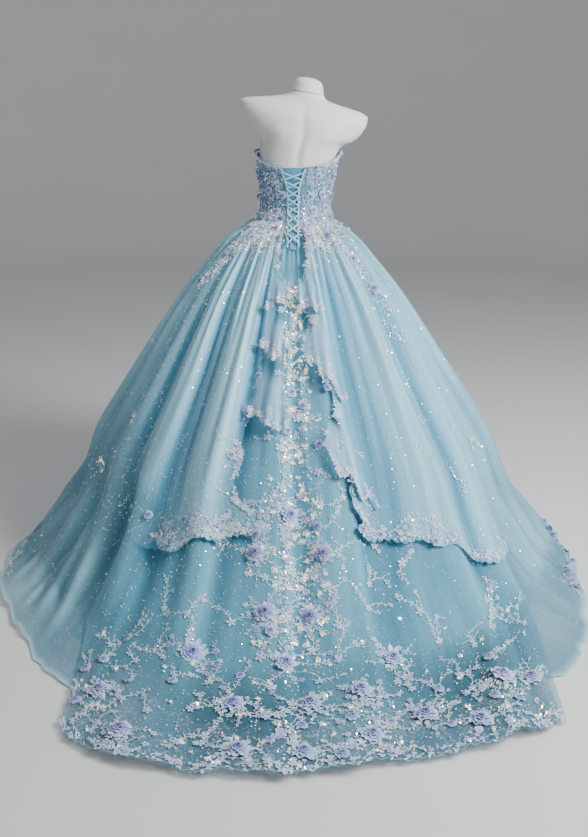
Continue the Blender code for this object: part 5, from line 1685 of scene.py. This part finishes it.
# -- flounces: leaves, small flowers and beads round the free edges
for k, row in enumerate(CASCADES):
    work = Sewn()
    for u in np.linspace(.02, .98, 44):
        thick = .5 + .5 * math.sin(u * 19 + 2 * k)
        a, s = [float(x) for x in flounce_outline(np.array(u), np.array(.985), row, k)]
        for turn in (-1.1, -.3, .5):
            if rng.uniform() < .30 + .45 * thick:
                work.put("leaf", a, s, turn + rng.normal(0, .3), rng.uniform(.008, .014), .0010, leaf_tint(), 1.1)
        if rng.uniform() < .12 + .3 * thick:
            work.put("flower", a, s - rng.uniform(.02, .08), rng.uniform(0, 6), rng.uniform(.007, .012), .0018,
                     PALE_LILAC if rng.uniform() < .5 else WHITE)
        if rng.uniform() < .4 * thick:
            sparkle(work, train_scale, a, s - .05, 5, .008, lambda x, y, r=row: r[3] < y < r[4])
        if rng.uniform() < .28 * thick:
            vine(work, train_scale, a, s - .02, math.pi + rng.normal(0, .6), rng.uniform(.015, .035), .011,
                 lambda x, y, r=row: r[1] < x < r[2] and r[3] < y < r[4], 0, .3, glitz=.9)
        work.put("bead", a, s, 0, .0013, .0022, (.95, .95, 1))
    side = .015 if k < 3 else .985
    for v in np.linspace(.35, .97, 30):
        a, s = [float(x) for x in flounce_outline(np.array(side), np.array(v), row, k)]
        out = -1 if side < .5 else 1
        if rng.uniform() < .18 + .25 * math.sin(v * 21 + k):
            for turn in (.3, 1.0, 1.7):
                work.put("leaf", a, s, out * turn + rng.normal(0, .3), rng.uniform(.007, .012), .0012,
                         leaf_tint(), 1.1)
            work.put("bead", a, s, 0, .0012, .0022, (.95, .95, 1))

    def within(a, s, row=row, k=k):
        mid = (row[1] + row[2]) / 2
        return abs(a - mid) < (row[2] - row[1]) * .38 and row[3] < s < row[4] * .97
    for _ in range(1):
        a = (row[1] + row[2]) / 2 + (row[2] - row[1]) * rng.uniform(-.25, .25)
        s = row[3] + (row[4] - row[3]) * rng.uniform(.3, .75)
        vine(work, train_scale, a, s, rng.uniform(0, 6.2), .035, .009, within, .1, .3, glitz=1.4)

    def place(a, s, h, row=row):
        return flounce_at(a, s, .0014 + h, row)
    sewn_mesh(row[0] + "_embroidery", work, ["strip", "leaf", "flower"], place, train_scale, M["thread"],
              "beaded_lace")
    sewn_mesh(row[0] + "_beads", work, ["bead", "sequin"], place, train_scale, M["bead"], "beaded_lace")

# -- hip lace: flowers that flow from the waist over the hips
HIP_STRIPS = {1: [([(24, .9), (36, 1.9), (47, 2.7), (56, 3.7)], 1.2), ([(17, .8), (21, 1.6), (25, 2.2)], .9)],
              -1: [([(-20, .9), (-32, 1.8), (-41, 2.7), (-46, 3.7), (-45, 4.9)], 1.4),
                   ([(-16, .8), (-20, 1.5), (-23, 2.2)], .9)]}
for row in HIP_LACE:
    work = Sewn()
    sign = 1 if row[1] > 0 else -1

    def inside(a, s, row=row):
        return row[1] - 1 < a < row[2] + 1 and .45 < s < row[4] + .25
    for _ in range(26):
        a = rng.uniform(row[1] + 1, row[2] - 1)
        s = .62 + 1.5 * rng.uniform() ** 1.15
        vine(work, train_scale, a, s, rng.normal(0, 1.0), rng.uniform(.02, .05), .0085, inside,
             rng.normal(0, .1), .25, glitz=1.3)
        if rng.uniform() < .4:
            work.put("flower", a, s, rng.uniform(0, 6), rng.uniform(.007, .011), .0022, MID_LILAC)
            work.put("bead", a, s, 0, .0016, .0040, (.25, .25, .42))
    # long strips that run on down over the hip
    for line, wide in HIP_STRIPS[sign]:
        la_, ls_ = column(line, 0), column(line, 1)
        for q in np.linspace(0, 1, 34):
            k = q * (len(line) - 1)
            a = float(np.interp(k, range(len(line)), la_)) + rng.normal(0, wide)
            s = float(np.interp(k, range(len(line)), ls_)) + rng.normal(0, .06)
            vine(work, train_scale, a, s, rng.normal(-sign * -.5, .7), rng.uniform(.018, .042), .0088,
                 lambda x, y: .4 < y < 5.6 and 9 < abs(x) < 66, rng.normal(0, .1), .22, glitz=1.8)
            for _ in range(7):
                work.put("sequin", a + rng.normal(0, wide), s + rng.normal(0, .14), rng.uniform(0, 6),
                         rng.uniform(.0015, .0028), .0014, SEQUINS[rng.integers(len(SEQUINS))], 1,
                         rng.normal(0, .45), rng.normal(0, .45))
    for _ in range(300):
        a, s = rng.uniform(row[1], row[2]), .5 + 1.9 * rng.uniform() ** 1.1
        if inside(a, s):
            work.put("sequin", a, s, rng.uniform(0, 6), rng.uniform(.0013, .0021), .0012,
                     SEQUINS[rng.integers(len(SEQUINS))], 1, rng.normal(0, .4), rng.normal(0, .4))

    def place(a, s, h):
        return hip_at(a, np.clip(s, .4, 11), .0008 + h)
    sewn_mesh(row[0] + "_embroidery", work, ["strip", "leaf", "flower"], place, train_scale, M["thread"],
              "beaded_lace")
    sewn_mesh(row[0] + "_sequins", work, ["sequin", "bead"], place, train_scale, M["sequin"], "beaded_lace")

# -- bodice lace, a tone deeper than the rest: partly its own tone, partly painted shade darkening the whole bodice
work = Sewn()
WHITE, ICE, PALE_LILAC = (.47, .63, .76), (.30, .51, .68), (.40, .45, .74)


def on_bodice(a, z):
    m = abs(a - 360 if a > 180 else a)
    half = float(smooth_table(column(OPENING, 0), column(OPENING, 1), z)) + .010
    if m * .00225 < half and m < 90:
        return False
    return 1.080 < z < float(bodice_top(np.array(float(m)))) - .004


for _ in range(230):
    a, z = rng.uniform(0, 360), rng.uniform(1.085, 1.30)
    if not on_bodice(a, z):
        continue
    vine(work, bodice_scale, a, z, rng.uniform(0, 6.2), rng.uniform(.018, .036), .0090, on_bodice,
         rng.normal(0, .15), .2, .0066, .9)
    if rng.uniform() < .34:
        work.put("flower", a, z, rng.uniform(0, 6), rng.uniform(.0090, .0125), .0016,
                 MID_LILAC if rng.uniform() < .6 else PALE_LILAC)
        work.put("flower", a, z, rng.uniform(0, 6), rng.uniform(.0040, .0060), .0030, PALE_LILAC)
        work.put("bead", a, z, 0, .0016, .0042, (.14, .14, .30))
for _ in range(1500):
    a, z = rng.uniform(0, 360), rng.uniform(1.082, 1.30)
    if on_bodice(a, z):
        work.put("sequin", a, z, rng.uniform(0, 6), rng.uniform(.0010, .0017), .0010,
                 SEQUINS[rng.integers(len(SEQUINS))], 1, rng.normal(0, .4), rng.normal(0, .4))
for a in np.arange(30, 330.5, 2.2):            # leaves that stand along the top
    z = float(min(bodice_top(np.array(float(a))), 1.300)) + .001
    for turn in (-.6, 0, .6):
        work.put("leaf", a, z, math.pi + turn, rng.uniform(.008, .012), .0100, leaf_tint(), 1.1)
    work.put("bead", a, z, 0, .0012, .0110, (.95, .95, 1))


def bodice_place(a, z, h):
    """On the bodice, and below its edge on over the top of the skirt."""
    p = bodice_fine(a, np.clip(z, 1.0785, 1.315), .0006 + h)
    p[..., 2] = z
    lv = smooth_table([.920, .995, 1.045, 1.0755], [3.0, 2.0, 1.0, 0.0], np.clip(z, .92, 1.0755))
    q = hip_at(a, np.maximum(lv, .25), .0006 + h)
    w = ease(z, 1.040, 1.0785)[..., None]
    return np.where((z < 1.0785)[..., None], q * (1 - w) + p * w, p)


def on_basque(a, z):
    m = abs(a - 360 if a > 180 else a)
    return m > 8.5 and .985 < z < 1.13


for side in (1, -1):                 # down beside the lacing
    for k in range(12):
        vine(work, bodice_scale, side * rng.uniform(9.5, 19), rng.uniform(1.02, 1.09), rng.normal(0, .35),
             rng.uniform(.025, .050), .0090, on_basque, rng.normal(0, .05), .35, .0066, 1.4)
for a in np.arange(10, 351, 4.6):
    long = .5 + .5 * math.sin(a * .21) * math.sin(a * .067 + 1)
    for _ in range(2):
        vine(work, bodice_scale, a + rng.normal(0, 1.2), rng.uniform(1.062, 1.115), rng.normal(0, .45),
             rng.uniform(.018, .034 + .034 * long), .0088, on_basque, rng.normal(0, .05), .3, .0070, 1.0)
    if rng.uniform() < .5:
        z = rng.uniform(1.045, 1.085)
        work.put("flower", a, z, rng.uniform(0, 6), rng.uniform(.008, .012), .0016,
                 MID_LILAC if rng.uniform() < .6 else PALE_LILAC)
        work.put("flower", a, z, rng.uniform(0, 6), rng.uniform(.004, .006), .0030, PALE_LILAC)
        work.put("bead", a, z, 0, .0016, .0042, (.18, .18, .34))
sewn_mesh("bodice_embroidery", work, ["strip", "leaf", "flower"], bodice_place, bodice_scale, M["thread"],
          "bodice_lace")
sewn_mesh("bodice_sequins", work, ["sequin", "bead"], bodice_place, bodice_scale, M["sequin"], "bodice_lace")


# ---------------------------------------------------------------- cloth roses
def rose(radius, seed, nu=9, nv=6):
    """Layered organza petals, wide and frilled outside, close round a dark bud."""
    local = np.random.default_rng(seed)
    V, F, C, off = [], [], [], 0
    violet = local.uniform() < .6
    # count, first and last radius, height at the root and the tip, width, frill, root and tip colour
    layers = ((7, .30, 1.16, .06, .14, 1.28, .16, (.26, .33, .66), (.54, .64, .88)),
              (6, .22, .88, .12, .32, 1.32, .11, (.20, .24, .60), (.42, .48, .82)),
              (5, .15, .62, .18, .50, 1.38, .08, (.15, .17, .50), (.35, .38, .74)),
              (4, .08, .38, .24, .62, 1.45, .05, (.10, .11, .36), (.28, .30, .64)),
              (3, .02, .18, .28, .68, 1.55, .00, (.08, .08, .30), (.24, .25, .58)))
    for count, r0, r1, z0, z1, spread, frill, dark, light in layers:
        phase = local.uniform(0, 6)
        for k in range(count):
            mid = phase + 2 * math.pi * k / count + local.normal(0, .10)
            ph = local.uniform(0, 6)
            long = 1 + local.normal(0, .06)
            u = np.linspace(-1, 1, nu)[None]
            v = np.linspace(0, 1, nv)[:, None]
            r = r0 + (r1 * long - r0) * v * (1 - .34 * np.abs(u) ** 2.4 * v)
            r = r + frill * .45 * v ** 2 * np.sin(u * 6.5 + ph)
            th = mid + u * math.pi / count * spread * (.50 + .50 * np.sin(v * np.pi * .5))
            z = z0 + (z1 - z0) * np.sin(v * np.pi / 2) ** .8 - .10 * np.clip(v - .7, 0, 1) / .3 * (frill > .04)
            z = z + frill * .8 * v ** 2 * np.sin(u * 5.2 + ph * 1.7) + .10 * u * u * v + .05 * (k % 2) * v
            V.append(np.stack([r * np.sin(th), r * np.cos(th), z + 0 * th], -1).reshape(-1, 3) * radius)
            F += [tuple(q + off) for q in quads(nv, nu)]
            t = np.clip(v ** 1.5 + .10 * np.sin(u * 9 + ph) * v, 0, 1)[..., None]
            tone = np.array(dark) * (1 - t) + np.array(light) * t
            if not violet:
                tone = tone * np.array([.86, 1.02, 1.04])
            C.append(np.clip(tone * (1 + local.normal(0, .04)), 0, 1).reshape(-1, 3))
            off += nu * nv
    V = np.vstack(V)
    V[:, 2] = np.maximum(V[:, 2], .02 * radius) * .85
    return V, F, np.vstack(C)


def sew_on(place, scale, a, s, lift, radius, seed, nu=9, nv=6):
    """A rose set on the cloth at an angle and level."""
    V, F, C = rose(radius, seed, nu, nv)
    q = place(np.array([a, a + .15, a, a - .15, a]), np.array([s, s, s + .02, s, s - .02]),
              np.full(5, lift))
    e1 = unit(q[1] - q[3])
    n = unit(np.cross(q[1] - q[3], q[2] - q[4]))
    e2 = np.cross(n, e1)
    if n[2] < 0 and s > 11:
        n, e2 = -n, -e2
    P = q[0] + V[:, :1] * e1 + V[:, 1:2] * e2 + V[:, 2:] * n
    P[:, 2] = np.maximum(P[:, 2], .0006)
    return P, F, C


for i, (a, s, r) in enumerate(ROSES):
    P, F, C = sew_on(lambda x, y, h: cloth("train", x, np.clip(y, 0, 12.98), h), train_scale, a, s,
                     .0072 if s > 11.7 else .0052, r * 1.30, i)
    own(make("organza_rose_%02d" % (i + 1), P, F, M["rose"], colours={"tint": C}), "cloth_rose",
        "rose_%02d" % (i + 1))

V, F, C, off = [], [], [], 0
extra = [(lambda x, y, h: cloth("train", x, np.clip(y, 0, 12.98), h), train_scale, a, s, .0055, r)
         for a, s, r in small_roses]
extra += [(lambda x, y, h: cloth("tulle", x, np.clip(y, 0, 12.98), h), tulle_scale, a, s, .0036, r)
          for a, s, r in hem_roses]
extra += [(lambda x, y, h: hip_at(x, y, h), train_scale, a, s, .0022, r) for a, s, r in
          ((12.5, 1.75, .0145), (-13, 1.7, .0150), (-42, 2.75, .017), (-46, 3.7, .017), (-31, 1.7, .014), (56, 3.6, .017), (36, 1.8, .014),
           (24, 1.1, .013), (-17, 1.0, .013), (17, 1.2, .014), (-24, 1.5, .012), (46, 2.6, .013))]
# on the bodice: short rows either side of the lacing and round the waist
BODICE_ROSES = [(20, 1.150, .0135), (-23, 1.146, .0140), (44, 1.165, .0110), (-46, 1.152, .0120),
                (36, 1.215, .0105), (-33, 1.214, .0115), (58, 1.108, .0125), (-56, 1.106, .0125),
                (29, 1.096, .0120), (-31, 1.100, .0120), (70, 1.205, .0110), (-70, 1.210, .0110),
                (84, 1.140, .0120), (-86, 1.142, .0120), (110, 1.115, .0120), (-112, 1.112, .0120),
                (104, 1.225, .0120), (-101, 1.230, .0120), (134, 1.180, .0125), (-131, 1.176, .0125),
                (150, 1.262, .0130), (-148, 1.266, .0130), (166, 1.130, .0130), (-168, 1.136, .0130),
                (179, 1.205, .0140), (160, 1.215, .0110), (-158, 1.210, .0110), (140, 1.105, .0110),
                (-142, 1.108, .0110), (122, 1.262, .0110), (-124, 1.258, .0110)]
extra += [(lambda x, z, h: bodice(x, z[0] + (z[0] - z) * .5, h), bodice_scale, a, z, .0030, r)
          for a, z, r in BODICE_ROSES]
extra += [(lambda x, y, h: overlay_at(x, y, h), train_scale, a, s, .0034, r) for a, s, r in
          ((-12.5, 7.2, .014), (-15.8, 8.75, .014), (-11.2, 5.9, .012), (8.5, 3.6, .012), (-8.2, 3.7, .013),
           (12.0, 5.6, .013), (16.5, 7.3, .013), (8.0, 8.8, .013), (-20.5, 8.85, .014), (-33, 9.25, .013),
           (25, 8.7, .013), (36, 8.75, .012))]
for i, (place, scale, a, s, lift, r) in enumerate(extra):
    p, f, c = sew_on(place, scale, a, s, lift, r, 100 + i, 6, 4)
    V.append(p)
    F += [tuple(x + off for x in q) for q in f]
    C.append(c)
    off += len(p)
own(make("small_roses", np.vstack(V), F, M["rose"], colours={"tint": np.vstack(C)}), "cloth_rose")

# ---------------------------------------------------------------- cloth facts
LINING = ["lining_back", "lining_left", "lining_front", "lining_right"]
TRAIN_SEWN = ["train_embroidery", "train_sequins", "train_beads", "train_glitter", "small_roses"]
TRAIN_SEWN += ["organza_rose_%02d" % (i + 1) for i in range(len(ROSES))]


def flounce_facts(name):
    return ["overlay_left" if "left" in name else "overlay_right"], [name + "_embroidery", name + "_beads"]


# piece: flat width and length, flat area, how it is held, what it lies on, what is sewn on it
CUT = {
    "skirt_lining_satin": ((5.60, 1.16), 4.35, "gathered", ["bodice_front", "bodice_side_left",
                                                            "bodice_side_right"], []),
    "tulle_front_net": ((2.30, 1.22), 1.55, "gathered", LINING, ["tulle_glitter", "hem_embroidery", "hem_sequins"]),
    "tulle_left_net": ((1.95, 1.25), 1.26, "gathered", LINING, []),
    "tulle_right_net": ((2.10, 1.25), 1.43, "gathered", LINING, []),
    "train_net": ((2.05, 1.95), 2.10, "gathered", LINING, TRAIN_SEWN),
    "hem_lace_net": ((2.05, .17), .267, "laid", ["train_panel"], []),
    "overlay_left_net": ((1.00, 1.10), .54, "gathered", ["train_panel"],
                         ["overlay_left_embroidery", "overlay_left_beads", "overlay_left_sequins"]),
    "overlay_right_net": ((1.05, 1.15), .58, "gathered", ["train_panel"],
                          ["overlay_right_embroidery", "overlay_right_beads", "overlay_right_sequins"]),
    "overlay_lace_left_net": ((.75, .11), .068, "laid", ["overlay_left"], []),
    "overlay_lace_right_net": ((.75, .10), .060, "laid", ["overlay_right"], []),
    "hip_lace_left_net": ((.26, .20), .026, "laid", ["overlay_left"],
                          ["hip_lace_left_embroidery", "hip_lace_left_sequins"]),
    "hip_lace_right_net": ((.28, .24), .0355, "laid", ["overlay_right"],
                           ["hip_lace_right_embroidery", "hip_lace_right_sequins"]),
    "top_lace_net": ((.82, .024), .0178, "laid", ["bodice_front", "bodice_side_left", "bodice_side_right",
                                                  "bodice_back_left", "bodice_back_right"], []),
    "bodice_front_satin": ((.17, .21), .0298, "stretched", ["form_torso"], ["bodice_embroidery", "bodice_sequins"]),
    "bodice_side_left_satin": ((.18, .21), .0322, "stretched", ["form_torso"], []),
    "bodice_side_right_satin": ((.18, .21), .0322, "stretched", ["form_torso"], []),
    "bodice_back_left_satin": ((.17, .17), .027, "stretched", ["form_torso"], []),
    "bodice_back_right_satin": ((.19, .17), .030, "stretched", ["form_torso"], []),
    "modesty_satin": ((.062, .26), .0121, "stretched", ["form_torso"], ["modesty_edge"]),
    "loop_tape_left_satin": ((.010, .25), .0021, "stretched", ["bodice_back_left"], []),
    "loop_tape_right_satin": ((.010, .25), .0021, "stretched", ["bodice_back_right"], ["lacing_loops"]),
    "lacing_ribbon_a_satin": ((.010, .60), .0031, "stretched", ["loop_tape_left", "loop_tape_right"], []),
    "lacing_ribbon_b_satin": ((.010, .60), .0031, "stretched", ["loop_tape_left", "loop_tape_right"], []),
}
for name, size, area in (("cascade_left_upper", (.11, .09), .0073), ("cascade_left_middle", (.13, .12), .0112),
                         ("cascade_left_lower", (.20, .16), .0220), ("cascade_right_upper", (.13, .10), .0093),
                         ("cascade_right_middle", (.17, .20), .0235), ("cascade_right_lower", (.18, .22), .0266)):
    under, sewn = flounce_facts(name)
    CUT[name + "_net"] = (size, area, "gathered", under, sewn)
for name, (size, area, held, under, sewn) in CUT.items():
    sewn = [x for x in sewn if x in bpy.data.objects]

# ---------------------------------------------------------------- stage
profile = [(0.0, 0.0), (2.0, 0.0), (4.0, 0.0), (6.4, 0.0)]       # a pale round floor that curves up all round
for k in range(1, 25):
    t = math.pi / 2 * k / 24
    profile.append((6.4 + 2.8 * math.sin(t), 2.8 - 2.8 * math.cos(t)))
profile.append((9.2, 9.0))
sides = 96
v = [(0, 0, 0)] + [(r * math.sin(2 * math.pi * k / sides), r * math.cos(2 * math.pi * k / sides), z)
                   for r, z in profile[1:] for k in range(sides)]
f = [(0, 1 + (k + 1) % sides, 1 + k) for k in range(sides)]
for i in range(len(profile) - 2):
    m = 1 + i * sides
    f += [(m + k, m + (k + 1) % sides, m + sides + (k + 1) % sides, m + sides + k) for k in range(sides)]
t = Mat("studio_floor").set(Roughness=.7, Specular_IOR_Level=.25, Emission_Strength=.06)
c = t.node("ShaderNodeTexCoord").outputs["Object"]
t.to("Base Color", t.mix(t.noise(c, 1.2, 3), (.60, .61, .62), (.66, .665, .67)))
floor = make("studio_floor", v, f, t.m)
t.b.inputs["Emission Color"].default_value = (.95, .97, 1, 1)

world = bpy.data.worlds.new("studio")
bpy.context.scene.world = world
world.use_nodes = True
world.node_tree.nodes["Background"].inputs[0].default_value = (.86, .90, .95, 1)
world.node_tree.nodes["Background"].inputs[1].default_value = .165


def lamp(name, place, aim, size, power, colour=(1, 1, 1)):
    data = bpy.data.lights.new(name, "AREA")
    data.shape = "RECTANGLE"
    data.size, data.size_y = size
    data.energy = power
    data.color = colour
    o = bpy.data.objects.new(name, data)
    o.location = place
    o.rotation_euler = (Vector(aim) - Vector(place)).to_track_quat("-Z", "Y").to_euler()
    bpy.context.scene.collection.objects.link(o)
    return o


lamp("key", (-3.1, 2.3, 2.9), (0, .5, .7), (1.6, 1.8), 335, (1, .985, .96))
lamp("fill", (3.2, 3.4, 2.0), (0, .5, .6), (2.6, 2.6), 11, (.93, .97, 1))
lamp("top", (-.6, .4, 4.4), (0, .5, .3), (2.4, 2.4), 40)

cam_data = bpy.data.cameras.new("camera")
cam_data.lens = 1086 * 36 / 837
cam_data.sensor_width = 36
cam = bpy.data.objects.new("camera", cam_data)
cam.location = (-.0035, 3.8, 1.45)
cam.rotation_euler = (math.radians(90 - 16.23), 0, math.pi)
bpy.context.scene.collection.objects.link(cam)
bpy.context.scene.camera = cam
